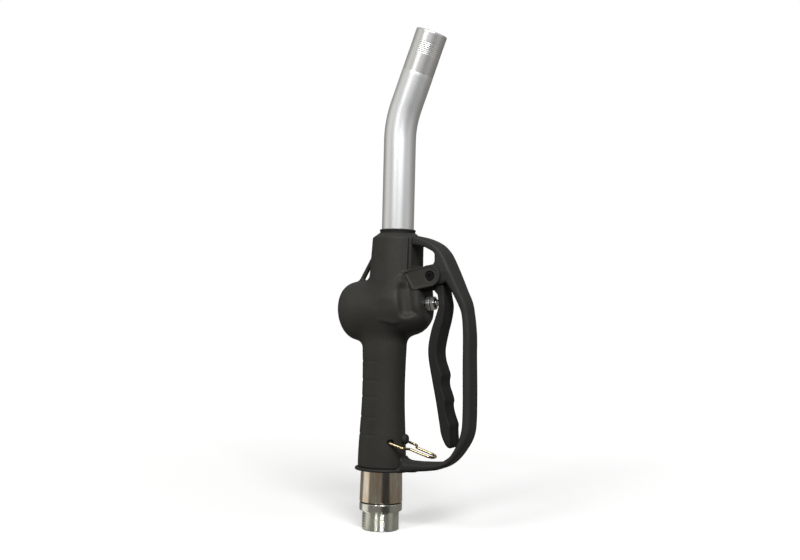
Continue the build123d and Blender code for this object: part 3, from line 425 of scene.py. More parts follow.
def strap_outline():
    """The lozenge plate round the pivot: a round end, a slanted arm and a pointed root."""
    back = (-math.cos(EAR_TILT), -math.sin(EAR_TILT))
    side = (-math.sin(EAR_TILT), math.cos(EAR_TILT))
    arm = 17.5
    top = (PIVOT[0] + EAR_RADIUS * side[0], PIVOT[1] + EAR_RADIUS * side[1])
    low = (PIVOT[0] - EAR_RADIUS * side[0], PIVOT[1] - EAR_RADIUS * side[1])
    tilt = math.degrees(EAR_TILT)
    nose = arc(PIVOT, EAR_RADIUS, tilt - 90, tilt + 90)
    top_root = (top[0] + arm * back[0], top[1] + (arm + 1.5) * back[1])
    low_root = (low[0] + arm * back[0], low[1] + arm * back[1])
    return [*nose, top_root, (24.6, 230.9), low_root]


def boss_field(g):
    """The upright boss round the valve stem, round below and straight-sided above."""
    wall = np.hypot(g.y, np.minimum(g.up, 0)) - BOSS_RADIUS
    middle, half = (BOSS_START + BOSS_FRONT) / 2, (BOSS_FRONT - BOSS_START) / 2
    upright = extruded(wall, np.abs(g.along - middle), half, BOSS_ROUND)
    return common(upright, g.up - 20, 2.0)


def chin_field(g):
    """The full lower front of the drum, under the boss."""
    profile = (
        (2.0, 0.0), (2.0, 20.0), (10.0, 24.2), (22.0, 25.9), (28.0, 25.8), (31.7, 24.7), (35.7, 22.2),
        (38.5, 19.5), (40.4, 16.5), (BOSS_FRONT, 13.0), (BOSS_FRONT, 0.0),
    )
    return common(turned(profile, g.along + 0 * g.y, g.from_valve), g.up + 7, 8.0)


def swell_field(g):
    """The cheek that swells from the drum up to the strap's root."""
    outline = (
        (-2.0, 200.0), (6.0, 211.0), (10.3, 214.6), (14.6, 218.1), (18.8, 222.5), (22.5, 227.2),
        (24.2, 227.8), (27.0, 222.0), (30.5, 214.0), (31.5, 205.0), (31.5, 192.0), (20.0, 185.0),
        (4.0, 188.0),
    )
    reach = 25.2 - 0.0125 * np.maximum(g.x - 10, 0) ** 2
    cheek = (g.side - reach) / (1 + 0.0004 * np.maximum(g.x - 10, 0) ** 2)
    return common(outline_distance(g.x, g.z, outline) + 0 * g.y, cheek, 3.5)


def casting_outside(g):
    """Everything cast in one piece, before its passages are cut."""
    drum = turned(drum_profile(), g.along + 0 * g.y, g.from_valve)
    field = union(grip_field(g), union(drum, chin_field(g), 2.5), 8.0)
    field = union(field, neck_field(g), 6.0)
    field = union(field, swell_field(g), 2.0)
    field = union(field, boss_field(g), 1.4)
    valley = np.hypot(np.hypot(g.along - 29.8, g.side - 24.0), np.maximum(np.abs(g.up - 4) - 9, 0)) - 5.1
    field = cut(field, valley, 4.0)
    field = np.maximum(field, g.side - DRUM_RADIUS + 0.02)
    root = ((24, 205), (39.6, 205), (39.6, 214.5), (33.4, 217.5), (24, 226))
    field = union(field, extruded(outline_distance(g.x, g.z, root), g.side, EAR_INNER, 0.8), 2.0)
    field = cut(field, np.maximum(30.2 - g.x, np.abs(g.z - 246) - 9.0) + 0 * g.y)
    pad = ((12, 214), (30.2, 214), (30.2, 262.0), (12, 262.0))
    field = union(field, extruded(outline_distance(g.x, g.z, pad), g.side, 14.0, 1.0), 0.8)
    bead = np.hypot(g.x - 26.6, g.side - 16.3 + 0.06 * (g.z - 246))
    bead = np.hypot(bead, np.maximum(np.abs(g.z - 246) - 15, 0)) - 1.5
    field = union(field, bead, 0.7)
    strut = (
        (-8.0, 258.0), (-10.2, 253.3), (-15.7, 243.2), (-26.5, 223.4), (-25.0, 219.0), (-22.0, 219.0),
        (-21.6, 224.8), (-16.4, 234.4), (-12.4, 241.9), (-6.0, 246.0), (-6.0, 258.0),
    )
    return union(field, extruded(outline_distance(g.x, g.z, strut), g.side, 2.5, 1.4), 2.5)


def add_straps(g, body):
    """The casting with its two strap plates, flat faces inside a raised rim, to a pointed root."""
    strap = outline_distance(g.x, g.z, strap_outline())
    rim = EAR_OUTER + 0.6
    plate = extruded(strap, np.abs(g.side - (EAR_INNER + rim) / 2), (rim - EAR_INNER) / 2, 0.6)
    skin = common(common(body - 0.9, strap, 0.8), 12 - g.side, 0.8)
    field = union(body, union(plate, skin, 0.6), 0.4)
    return cut(field, common(strap + 1.5, EAR_OUTER - g.side), 0.9)


def casting_passages(g, field):
    """The casting with its chamber, bores and pin holes cut."""
    chamber = (
        (-35.6, 0), (-35.6, 10.0), (-29.6, 15.5), (-29.6, 19.5), (2.0, 19.5), (2.0, 16.0), (28.0, 16.0),
        (28.0, 3.1), (32.0, 3.1), (32.0, 6.4), (60.0, 6.4), (60.0, 0),
    )
    field = cut(field, turned(chamber, g.along + 0 * g.y, g.from_valve))
    mouth = (
        (231, 0), (231, SPOUT_BORE), (240, SPOUT_BORE), (240, SPOUT_RADIUS), (260, SPOUT_RADIUS),
        (260, MOUTH_RADIUS), (280, MOUTH_RADIUS), (280, 0),
    )
    field = cut(field, turned(mouth, g.z + 0 * g.from_spout, g.from_spout + 0 * g.z), 0.9)
    from_axis = np.hypot(g.x, g.y)
    tail = np.maximum(from_axis - 14.0, g.z - 72)
    field = cut(field, union(tail, np.maximum(from_axis - 11.0, g.z - 170)))
    pin = np.hypot(g.x - PIVOT[0], g.z - PIVOT[1])
    field = cut(field, common(pin - 3.05, 10 - g.side))
    field = cut(field, common(pin - 4.3, 15.9 - g.side), 0.3)
    latch = np.hypot(g.x - 14.1, g.z - 81.3)
    return cut(field, common(latch - 2.4, 10 - g.side))


def split_at_seam(vertices, faces, keep_front):
    """One side of a mesh cut square to the valve axis at the cap's seam, its cut face closed."""
    bm = bmesh.new()
    mesh = bpy.data.meshes.new("whole")
    mesh.from_pydata(vertices.tolist(), [], faces.tolist())
    bm.from_mesh(mesh)
    bpy.data.meshes.remove(mesh)
    axis = Vector((math.cos(VALVE_TILT), 0, math.sin(VALVE_TILT)))
    seam = CAP_SEAM if keep_front else CAP_SEAM - 0.1
    point = Vector((0, 0, VALVE_HEIGHT)) + axis * seam
    everything = [*bm.verts, *bm.edges, *bm.faces]
    result = bmesh.ops.bisect_plane(
        bm, geom=everything, plane_co=point, plane_no=axis, clear_inner=keep_front, clear_outer=not keep_front
    )
    rim = [e for e in result["geom_cut"] if isinstance(e, bmesh.types.BMEdge)]
    bmesh.ops.triangle_fill(bm, use_beauty=True, use_dissolve=False, edges=rim)
    points = np.array([v.co for v in bm.verts])
    bm.verts.index_update()
    kept = [[v.index for v in f.verts] for f in bm.faces]
    bm.free()
    return points, kept


def make_casting(step=0.7):
    """The body casting and the domed cap behind it, from one field."""
    g = Grid((-43.5, -28.5, 56.0), (61.0, 28.5, 269.5), step)
    field = add_straps(g, casting_outside(g))
    vertices, faces = surface_mesh(casting_passages(g, field), g)
    body = place("casting", *split_at_seam(vertices, faces, True), "nozzle", "body_casting", slot="body_coat")
    cap = place("end_cap", *split_at_seam(vertices, faces, False), "nozzle", "valve_cap", slot="body_coat")
    return body, cap


# ------------------------------------------------------------------ guard and trigger


def make_guard(step=0.6):
    """The lever guard: a bow of rounded section from the ring under the grip to the pivot fork."""
    g = Grid((-25.5, -23.0, 52.5), (88.0, 23.0, 266.5), step)
    outer = smooth_line(
        (
            (18.0, 55.4), (30.0, 56.4), (40.0, 57.4), (47.7, 58.3), (57.3, 60.1), (65.6, 63.9),
            (72.6, 69.8), (79.4, 78.8), (84.5, 88.6), (86.6, 100.0), (86.7, 125.0), (85.7, 157.0),
            (85.0, 180.0), (81.5, 202.5), (74.8, 217.4), (67.1, 233.4), (61.1, 245.4), (56.7, 251.6),
            (51.2, 256.6), (44.0, 260.3), (36.0, 263.0), (28.0, 264.6),
        )
    )
    inner = smooth_line(
        (
            (62.0, 222.6), (67.4, 214.5), (72.9, 204.1), (76.2, 195.0), (77.8, 178.0), (78.2, 150.0),
            (79.0, 110.0), (77.6, 92.0), (71.0, 76.5), (64.0, 69.2), (54.0, 65.7), (24.0, 64.4),
        )
    )
    outline = outline_distance(g.x, g.z, [*outer, (28.0, 240.0), (49.4, 218.9), (58.8, 220.6), *inner])
    half = np.interp(g.z, (196.0, 232.0), (GUARD_HALF, HEAD_HALF)).astype(np.float32)
    field = extruded(outline, g.side, half, 3.2)
    ring = (np.hypot(g.x / RING_HALF_X, g.y / RING_HALF_Y) - 1) * 22.6
    ring = extruded(ring, np.abs(g.z - 56.5), 1.4, 1.2)
    heel = ((14, 57.0), (34, 57.4), (34, 62.0), (27, 63.6), (24.0, 66.0), (22.4, 69.0), (14, 69.0))
    heel = extruded(outline_distance(g.x, g.z, heel), g.side, 7.6, 3.2)
    field = union(union(field, heel, 5.0), ring, 2.5)
    window = (
        (20.0, 235.5), (41.0, 235.5), (43.0, 237.2), (47.0, 237.8), (50.6, 238.6), (51.8, 241.0),
        (51.6, 247.4), (49.8, 249.6), (42.0, 253.4), (34.0, 255.0), (20.0, 255.2),
    )
    field = cut(field, outline_distance(g.x, g.z, window) + 0 * g.y, 2.0)
    fork = extruded(np.maximum(g.x - 60.4, g.z - 236.9), g.side, TONGUE_HALF + 0.4)
    field = cut(field, np.maximum(fork, 205 - g.z), 0.6)
    field = cut(field, np.maximum(np.maximum(g.x - 41.5, g.z - 236.9), 205 - g.z) + 0 * g.y)
    field = cut(field, neck_field(g, 0.2))
    field = cut(field, np.maximum(np.maximum(g.x - 30.35, g.side - 14.2), 200 - g.z))
    field = cut(field, common(np.hypot(g.x - PIVOT[0], g.z - PIVOT[1]) - 3.1, 9 - g.side))
    field = cut(field, grip_field(g, 0.15))
    field = cut(field, np.hypot(g.x, g.y) - 14.1 + 0 * g.z)
    vertices, faces = surface_mesh(field, g)
    return place("lever_guard", vertices, faces, "nozzle", "guard", slot="guard_plastic")


def lever_front():
    """Points up the lever's finger side, from its tip to beside the pivot, over three crests."""
    return (
        (69.3, 88.0), (68.8, 95.0), (68.9, 99.5), (66.6, 105.6), (64.8, 111.0), (64.0, 116.0),
        (64.4, 120.6), (62.4, 126.6), (60.4, 132.0), (59.9, 137.0), (60.4, 142.0), (58.6, 147.8),
        (56.3, 154.0), (55.2, 161.0), (55.6, 168.0), (58.0, 180.0), (60.3, 189.5), (61.9, 201.0),
        (60.6, 212.0), (58.6, 222.5),
    )


def make_lever(step=0.45):
    """The finger lever: waved in front, hollow behind, with a narrow tongue on the pivot."""
    g = Grid((40.5, -13.0, 75.5), (71.0, 13.0, 237.0), step)
    back = smooth_line(
        (
            (52.2, 217.5), (54.6, 208.5), (55.6, 202.0), (52.8, 192.0), (49.2, 180.5), (46.8, 166.0),
            (47.6, 154.4), (51.2, 137.1), (55.0, 119.9), (59.0, 99.4), (60.5, 91.8), (63.1, 85.4),
            (66.6, 80.2), (69.0, TRIGGER_BOTTOM), (69.9, 81.8),
        )
    )
    front = smooth_line(lever_front())
    side_view = outline_distance(g.x, g.z, [*back, *front])
    half = np.interp(g.z, (203.0, 213.0), (TRIGGER_HALF, TONGUE_HALF)).astype(np.float32)
    lever = extruded(side_view, g.side, half, 1.8)
    low_centre = TRIGGER_BOTTOM + TRIGGER_TIP_RADIUS
    beside = np.maximum(g.side - (TRIGGER_HALF - TRIGGER_TIP_RADIUS), 0)
    tip = np.hypot(beside, np.maximum(low_centre - g.z, 0)) - TRIGGER_TIP_RADIUS
    lever = common(lever, tip, 2.0)
    web = ((43.2, 223.5), (53.0, 213.0), (60.2, 211.0), (58.4, 222.6), (55.6, 232.0))
    tongue = extruded(outline_distance(g.x, g.z, web), g.side, TONGUE_HALF, 0.8)
    barrel = extruded(np.hypot(g.x - PIVOT[0], g.z - PIVOT[1]) - 7.6, g.side, TONGUE_HALF, 0.8)
    field = union(lever, union(tongue, barrel, 1.5), 1.0)
    hollow_front = [(x - 2.8, z) for x, z in smooth_line(lever_front()) if 95 < z < 189]
    hollow = [(44.0, 189.0), (40.0, 165.0), (50.0, 92.0), *hollow_front]
    field = cut(field, extruded(outline_distance(g.x, g.z, hollow), g.side, 9.4, 1.5), 0.8)
    pad = np.maximum(g.from_valve - 4.02, np.abs(g.along - 55.0) - 3.5)
    field = cut(field, pad)
    field = cut(field, np.hypot(g.x - PIVOT[0], g.z - PIVOT[1]) - 4.42 + 0 * g.y)
    vertices, faces = surface_mesh(field, g)
    return place("finger_lever", vertices, faces, "trigger", "trigger_lever", slot="lever_coat")


# ------------------------------------------------------------------ turned metal


def make_inlet():
    """The inlet adapter: a helical thread, its collar, and the spigot inside the sleeve."""
    angles = turn_angles(96)
    rings = [level_ring(THREAD_START, THREAD_RADIUS - 1.6), level_ring(THREAD_START, THREAD_RADIUS - 1.3)]
    for height in np.arange(THREAD_START + 0.1, THREAD_TOP - 0.6, 0.21):
        lead = max(THREAD_START + 0.9 - height, 0)
        fade = min(1.0, (THREAD_TOP - 0.6 - height) / 1.2)
        wave = thread_wave(height, angles, THREAD_PITCH)
        cap = THREAD_RADIUS - lead * 1.4
        rings.append(level_ring(height, np.minimum(THREAD_RADIUS - THREAD_DEPTH * wave * fade, cap)))
    outside = (
        (THREAD_TOP - 0.4, THREAD_RADIUS), (THREAD_TOP, THREAD_RADIUS + 0.05),
        (THREAD_TOP + 0.02, COLLAR_RADIUS - 1.0), (THREAD_TOP + 0.25, COLLAR_RADIUS - 0.35),
        (THREAD_TOP + 0.9, COLLAR_RADIUS), (THREAD_TOP + 1.2, COLLAR_RADIUS),
        (COLLAR_TOP - 0.8, COLLAR_RADIUS), (COLLAR_TOP - 0.5, COLLAR_RADIUS),
        (COLLAR_TOP - 0.12, COLLAR_RADIUS - 0.14), (COLLAR_TOP, COLLAR_RADIUS - 0.5), (COLLAR_TOP, 13.6),
        (COLLAR_TOP + 0.1, 13.5), (50.0, 13.5), (50.0, 10.0), (THREAD_START + 0.4, 10.0),
        (THREAD_START, 10.4),
    )
    rings += [level_ring(height, radius) for height, radius in outside]
    vertices, faces = ring_mesh(rings)
    return place("inlet_adapter", vertices, faces, "inlet", "swivel_adapter", slot="zinc_steel")


def make_sleeve():
    """The plated sleeve that turns on the adapter."""
    top = SLEEVE_RADIUS - SLEEVE_TAPER
    profile = (
        (SLEEVE_BOTTOM, 13.6), (SLEEVE_BOTTOM, SLEEVE_RADIUS - 0.9),
        (SLEEVE_BOTTOM + 0.12, SLEEVE_RADIUS - 0.4), (SLEEVE_BOTTOM + 0.45, SLEEVE_RADIUS - 0.1),
        (SLEEVE_BOTTOM + 0.9, SLEEVE_RADIUS), (SLEEVE_BOTTOM + 1.2, SLEEVE_RADIUS),
        (SLEEVE_TOP - 0.2, top), (SLEEVE_TOP, top), (SLEEVE_TOP + 0.1, top), (SLEEVE_TOP + 0.1, 14.2),
        (SLEEVE_TOP + 0.2, 14.0), (70.0, 14.0), (70.0, 10.0), (50.4, 10.0), (50.4, 13.6),
    )
    vertices, faces = ring_mesh([level_ring(height, radius) for height, radius in profile])
    return place("plated_sleeve", vertices, faces, "nozzle", "swivel_sleeve", slot="sleeve_steel")


def make_stop():
    """The rubber knob on the grip that the lever's latch rests against."""
    g = Grid((8.5, -5.5, STOP_HEIGHT - 5.5), (26.5, 5.5, STOP_HEIGHT + 5.5), 0.3)
    from_axis = np.hypot(g.y, g.z - STOP_HEIGHT)
    head = extruded(from_axis - STOP_KNOB, np.abs(g.x - 17.5), 7.6, 2.6)
    field = union(cut(head, grip_field(g, 0.05)), extruded(from_axis - 2.4, np.abs(g.x - 16), 6.8), 0.3)
    vertices, faces = surface_mesh(field.astype(np.float32), g)
    return place("rubber_knob", vertices, faces, "nozzle", "trigger_stop", slot="black_rubber")


def spout_frame(station):
    """Centre and direction of the spout's centreline at a distance from its foot."""
    tangent = BEND_RADIUS * math.tan(BEND_ANGLE / 2)
    straight = BEND_HEIGHT - tangent - SPOUT_FOOT
    bend = BEND_RADIUS * BEND_ANGLE
    if station <= straight:
        return Vector((SPOUT_X, 0, SPOUT_FOOT + station)), 0.0
    turned_by = min(station - straight, bend) / BEND_RADIUS
    x = SPOUT_X + BEND_RADIUS * (1 - math.cos(turned_by))
    z = BEND_HEIGHT - tangent + BEND_RADIUS * math.sin(turned_by)
    beyond = max(station - straight - bend, 0)
    return Vector((x + beyond * math.sin(turned_by), 0, z + beyond * math.cos(turned_by))), turned_by


def spout_length():
    """Length of the spout's centreline."""
    tangent = BEND_RADIUS * math.tan(BEND_ANGLE / 2)
    return BEND_HEIGHT - tangent - SPOUT_FOOT + BEND_RADIUS * BEND_ANGLE + TIP_RUN - tangent


def spout_ring(station, radius, segments=96):
    """A ring of points square to the spout's centreline."""
    centre, lean = spout_frame(station)
    angles = turn_angles(segments)
    radius = np.broadcast_to(radius, angles.shape)
    across = radius * np.cos(angles)
    return np.stack(
        [centre.x + across * math.cos(lean), radius * np.sin(angles), centre.z - across * math.sin(lean)], 1
    )


def make_spout():
    """The bent spout: a turned bright end with a fine helical thread behind a plain band."""
    length, angles = spout_length(), turn_angles(96)
    thread_end, thread_start = length - TIP_BAND, length - TIP_BAND - TIP_THREAD
    rings = [spout_ring(s, SPOUT_RADIUS) for s in np.linspace(0, length - BRIGHT_RUN - 0.5, 60)]
    plain = np.linspace(length - BRIGHT_RUN, thread_start - 0.2, 24)
    stations = [spout_ring(s, SPOUT_RADIUS - TURNED_OFF) for s in plain]
    for station in np.arange(thread_start, thread_end, 0.16):
        fade = min(1.0, (station - thread_start) / 1.5, (thread_end - station) / 1.5)
        wave = thread_wave(station, angles, TIP_PITCH)
        stations.append(spout_ring(station, SPOUT_RADIUS - TURNED_OFF - TIP_DEPTH * wave * fade))
    lip = [(s, SPOUT_RADIUS - TURNED_OFF) for s in np.linspace(thread_end + 0.2, length - 0.7, 8)]
    lip += [(length - 0.25, SPOUT_RADIUS - 0.3), (length, SPOUT_RADIUS - 0.75)]
    lip += [(length, SPOUT_BORE + 0.4), (length - 0.4, SPOUT_BORE)]
    stations += [spout_ring(s, r) for s, r in lip]
    inside = [spout_ring(s, SPOUT_BORE) for s in np.linspace(length - 2, 0, 40)]
    vertices, faces = ring_mesh([*rings, *stations, *inside])
    spout = place("spout", vertices, faces, "nozzle", "spout_tube", slot="spout_aluminium")
    shares = [0.0] * len(rings) + [1.0] * len(stations) + [0.0] * len(inside)
    bright = np.repeat(shares, len(angles))
    layer = spout.data.attributes.new("bright", "FLOAT", "POINT")
    layer.data.foreach_set("value", bright.astype(np.float32))
    return spout


def make_spring():
    """The valve's compression spring, drawn at rest as one rigid coil; the real one shortens as the poppet
    slides back.
    """
    segments, steps = 14, 36 * SPRING_TURNS
    foot, head = CAP_END + 6.0 + SPRING_WIRE + 0.1, POPPET_BACK - SPRING_WIRE - 0.1
    along = Vector((math.cos(VALVE_TILT), 0, math.sin(VALVE_TILT)))
    up, across = Vector((-along.z, 0, along.x)), Vector((0, 1, 0))
    start = Vector((0, 0, VALVE_HEIGHT)) + along * foot
    rings = []
    for i in range(steps + 1):
        a = 2 * math.pi * SPRING_TURNS * i / steps
        outward = up * math.cos(a) + across * math.sin(a)
        centre = start + along * ((head - foot) * i / steps) + outward * SPRING_RADIUS
        wire = [outward * math.cos(b) + along * math.sin(b) for b in turn_angles(segments)]
        rings.append(np.array([centre + way * SPRING_WIRE for way in wire]))
    vertices, faces = ring_mesh(rings)
    ends = [tuple(range(segments)), tuple(range(steps * segments, (steps + 1) * segments))[::-1]]
    faces = [*faces[: steps * segments], *ends]
    spring = place("valve_spring", vertices, faces, "nozzle", "main_spring", slot="spring_steel")
    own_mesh(spring)
    return spring


def hexagon_nut(name, node, start, end, corner, bore, step=0.12):
    """A hexagon nut on the valve axis, its corners turned off at both faces."""
    reach = corner + 1.0
    middle, half = (start + end) / 2, (end - start) / 2
    x, z = middle * math.cos(VALVE_TILT), VALVE_HEIGHT + middle * math.sin(VALVE_TILT)
    span = half + 1.5
    g = Grid((x - span, -reach, z - reach), (x + span, reach, z + reach), step)
    flat = corner * math.cos(math.radians(30))
    hexagon = g.side * 0 + g.up * 0 - 100
    for turn in (0, 60, 120):
        a = math.radians(turn)
        hexagon = np.maximum(hexagon, np.abs(g.up * math.cos(a) + g.y * math.sin(a)) - flat)
    across = np.abs(g.along - middle)
    field = extruded(hexagon, across, half, 0.15)
    cone = (g.from_valve - flat - 0.1) * 0.5 + (across - half) * 0.866
    field = common(field, cone, 0.1)
    field = cut(field, g.from_valve - bore, 0.1)
    if node == "gland_nut":
        nose = np.maximum(g.from_valve - GLAND_NOSE, np.abs(g.along - 43.0) - 5.8)
        field = cut(union(field, nose, 0.1), g.from_valve - 3.1)
    vertices, faces = surface_mesh(field.astype(np.float32), g)
    return place(name, vertices, faces, "nozzle", node, slot="nut_chrome")


# ------------------------------------------------------------------ materials


class Shader:
    """A small helper that adds nodes to one material and joins them up."""

    def __init__(self, name):
        self.material = bpy.data.materials.new(name)
        self.material.use_nodes = True
        self.nodes, self.links = self.material.node_tree.nodes, self.material.node_tree.links
        self.base = next(n for n in self.nodes if n.type == "BSDF_PRINCIPLED")
        self.place = self.nodes.new("ShaderNodeTexCoord").outputs["Object"]

    def stretched(self, scale):
        """Object coordinates scaled unevenly, to draw a texture out along an axis."""
        mapping = self.nodes.new("ShaderNodeMapping")
        mapping.inputs["Scale"].default_value = scale
        self.links.new(self.place, mapping.inputs["Vector"])
        return mapping.outputs["Vector"]

    def noise(self, scale, detail=4.0, rough=0.55, vector=None):
        """A noise texture's value; scale is in waves per metre."""
        node = self.nodes.new("ShaderNodeTexNoise")
        node.inputs["Scale"].default_value = scale
        node.inputs["Detail"].default_value = detail
        node.inputs["Roughness"].default_value = rough
        self.links.new(vector or self.place, node.inputs["Vector"])
        return node.outputs[0]

    def cells(self, scale):
        """Distance to the nearest of scattered points, for leathery or pitted textures."""
        node = self.nodes.new("ShaderNodeTexVoronoi")
        node.inputs["Scale"].default_value = scale
        self.links.new(self.place, node.inputs["Vector"])
        return node.outputs["Distance"]

    def ramp(self, value, *stops):
        """A colour ramp over a value, from (position, colour) stops."""
        node = self.nodes.new("ShaderNodeValToRGB")
        elements = node.color_ramp.elements
        while len(elements) < len(stops):
            elements.new(0.5)
        for element, (position, colour) in zip(elements, stops):
            element.position = position
            element.color = (*colour, 1) if len(colour) == 3 else colour
        self.links.new(value, node.inputs["Fac"])
        return node.outputs["Color"]

    def span(self, value, low, high):
        """A 0 to 1 value mapped onto low to high."""
        node = self.nodes.new("ShaderNodeMapRange")
        node.inputs["From Min"].default_value = 0.25
        node.inputs["From Max"].default_value = 0.75
        node.inputs["To Min"].default_value = low
        node.inputs["To Max"].default_value = high
        self.links.new(value, node.inputs["Value"])
        return node.outputs["Result"]

    def mix(self, share, first, second):
        """Two colours or values mixed by a share."""
        node = self.nodes.new("ShaderNodeMix")
        node.data_type = "RGBA"
        for socket, source in ((node.inputs[0], share), (node.inputs[6], first), (node.inputs[7], second)):
            if isinstance(source, bpy.types.NodeSocket):
                self.links.new(source, socket)
            else:
                socket.default_value = source
        return node.outputs[2]

    def bump(self, *layers):
        """Bump layers, each (height, strength, distance in metres), one on the other."""
        normal = None
        for height, strength, distance in layers:
            node = self.nodes.new("ShaderNodeBump")
            node.inputs["Strength"].default_value = strength
            node.inputs["Distance"].default_value = distance
            self.links.new(height, node.inputs["Height"])
            if normal:
                self.links.new(normal, node.inputs["Normal"])
            normal = node.outputs["Normal"]
        self.links.new(normal, self.base.inputs["Normal"])

    def set(self, **values):
        """Principled sockets by name: a socket links, anything else is set on the socket."""
        for name, value in values.items():
            socket = self.base.inputs[name.replace("_", " ")]
            if isinstance(value, bpy.types.NodeSocket):
                self.links.new(value, socket)
            else:
                socket.default_value = value
        return self


def coat_material(name, dark, light, grain, shine=0.25):
    """Matte charcoal powder coat: fine pebbled grain over faint cloudy variation."""
    s = Shader(name)
    clouds = s.noise(28, 3)
    fine = s.noise(grain, 2)
    colour = s.ramp(clouds, (0.3, dark), (0.7, light))
    speckle = s.ramp(fine, (0.35, (0.82, 0.82, 0.82)), (0.65, (1.12, 1.12, 1.12)))
    node = s.nodes.new("ShaderNodeMix")
    node.data_type = "RGBA"
    node.blend_type = "MULTIPLY"
    node.inputs[0].default_value = 1.0
    s.links.new(colour, node.inputs[6])
    s.links.new(speckle, node.inputs[7])
    s.set(Base_Color=node.outputs[2], Roughness=s.span(s.noise(160, 3), 0.5, 0.62))
    s.base.inputs["Specular IOR Level"].default_value = shine
    s.bump((s.cells(grain * 0.45), 0.22, 0.00012), (fine, 0.3, 0.0001))
    return s.material


def plated_material(name, colours, rough, reflection_stretch=(6.0, 6.0, 1.2)):
    """Plated turned steel: faint lathe rings, and stripes of colour along its length that are painted
    reflections.
    """
    s = Shader(name)
    # Painted reflections: colour stripes drawn out along the length, from bronze to pale on the sleeve.
    painted_reflection_streaks = s.noise(34, 4, 0.6, s.stretched(reflection_stretch))
    mottled = s.noise(420, 4, 0.65)
    colour = s.ramp(painted_reflection_streaks, (0.3, colours[0]), (0.5, colours[1]), (0.68, colours[2]))
    s.set(Base_Color=colour, Metallic=1.0, Roughness=s.span(mottled, *rough))
    rings = s.noise(60, 2, 0.5, s.stretched((0.6, 0.6, 60.0)))
    s.bump((rings, 0.12, 0.00004), (mottled, 0.1, 0.00004))
    return s.material


def spout_material():
    """Aluminium tube: satin bead-blasted, its colour striped along its length with painted reflections, with
    a brighter turned end.
    """
    s = Shader("spout_satin")
    layer = s.nodes.new("ShaderNodeAttribute")
    layer.attribute_name = "bright"
    bright = layer.outputs["Fac"]
    # Painted reflections: soft colour stripes drawn out along the tube.
    painted_reflection_streaks = s.noise(22, 3, 0.5, s.stretched((5.0, 5.0, 0.6)))
    satin = s.ramp(painted_reflection_streaks, (0.3, (0.76, 0.77, 0.78)), (0.7, (0.83, 0.84, 0.85)))
    colour = s.mix(bright, satin, (0.74, 0.74, 0.73, 1))
    grain = s.noise(2600, 2)
    blasted, turned_bright = s.span(grain, 0.36, 0.46), s.span(grain, 0.31, 0.39)
    s.set(Base_Color=colour, Metallic=0.72, Roughness=s.mix(bright, blasted, turned_bright))
    s.bump((grain, 0.16, 0.00005))
    return s.material


def metal_material(name, colour, rough, bump=0.08):
    """A plain metal with slight colour and roughness variation."""
    s = Shader(name)
    worn = s.noise(260, 4)
    darker = tuple(c * 0.86 for c in colour)
    s.set(Base_Color=s.ramp(worn, (0.35, darker), (0.65, colour)), Metallic=1.0)
    s.set(Roughness=s.span(s.noise(700, 3), *rough))
    s.bump((worn, bump, 0.00005))
    return s.material


def rubber_material(name, colour):
    """Matte rubber with a fine pitted skin."""
    s = Shader(name)
    skin = s.noise(1500, 3)
    lighter = tuple(c * 1.5 for c in colour)
    s.set(Base_Color=s.ramp(s.noise(120, 3), (0.35, colour), (0.65, lighter)))
    s.set(Roughness=s.span(skin, 0.62, 0.8))
    s.bump((skin, 0.25, 0.00008))
    return s.material


def make_materials():
    """Every material, by the record's slot name."""
    return {
        "body_coat": coat_material("charcoal_casting", (0.03, 0.029, 0.025), (0.039, 0.038, 0.033), 1500),
        # The lever's coat is the casting's charcoal made darker and less shiny: painted shade, as the lever
        # lies in the guard's shadow.
        "lever_coat": coat_material("charcoal_lever_painted_shade", (0.02, 0.02, 0.019), (0.026, 0.026, 0.025), 1500, 0.12),
        "guard_plastic": coat_material("charcoal_guard", (0.026, 0.026, 0.024), (0.034, 0.034, 0.032), 1900),
        "zinc_steel": plated_material(
            "zinc_plate", ((0.68, 0.7, 0.64), (0.76, 0.77, 0.7), (0.82, 0.83, 0.76)), (0.14, 0.24)
        ),
        # The sleeve's bronze to pale stripes are painted reflections.
        "sleeve_steel": plated_material(
            "nickel_plate", ((0.62, 0.46, 0.34), (0.7, 0.62, 0.52), (0.8, 0.77, 0.72)), (0.06, 0.12)
        ),
        "spout_aluminium": spout_material(),
        "nut_chrome": metal_material("chrome_nuts", (0.95, 0.95, 0.92), (0.3, 0.4), 0.04),
        "polished_steel": metal_material("ground_steel", (0.62, 0.62, 0.62), (0.12, 0.22)),
        "bearing_steel": metal_material("bearing_balls", (0.66, 0.66, 0.67), (0.05, 0.1), 0.02),
        "spring_steel": metal_material("spring_wire", (0.42, 0.42, 0.43), (0.25, 0.38)),
        "valve_brass": metal_material("turned_brass", (0.72, 0.52, 0.22), (0.2, 0.32)),
        "brass_mesh": metal_material("strainer_brass", (0.62, 0.48, 0.24), (0.28, 0.42)),
        "latch_zinc": metal_material("yellow_zinc", (0.66, 0.56, 0.33), (0.14, 0.24)),
        "dark_screw": metal_material("black_oxide", (0.02, 0.02, 0.022), (0.4, 0.55)),
        "black_rubber": rubber_material("nitrile_rubber", (0.012, 0.012, 0.012)),
        "vane_plastic": rubber_material("acetal_vane", (0.45, 0.45, 0.42)),
    }


def dress(frame, materials):
    """Give every piece, new or carried over from CAD, the material of its record slot."""
    slots = {row["node"]: row["material_slot"] for row in frame["record"]["subparts"]}
    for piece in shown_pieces():
        slot = piece.get("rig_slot") or slots[piece["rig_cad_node"]]
        piece.data.materials.clear()
        piece.data.materials.append(materials[slot])


# ------------------------------------------------------------------ studio


# A grey room with a pale panel on the left and a dark curtain; angles are degrees right of the camera
ROOM_GREY = (0.2, 0.19, 0.17)
PANEL_WHITE = (0.9, 0.88, 0.82)
CURTAIN_DARK = (0.05, 0.05, 0.05)
PANEL_FROM, PANEL_TO = -105, -75
CURTAIN_FROM, CURTAIN_TO = 10, 40
ZONE_SOFTNESS = 12
ROOM_SHARE = 0.3


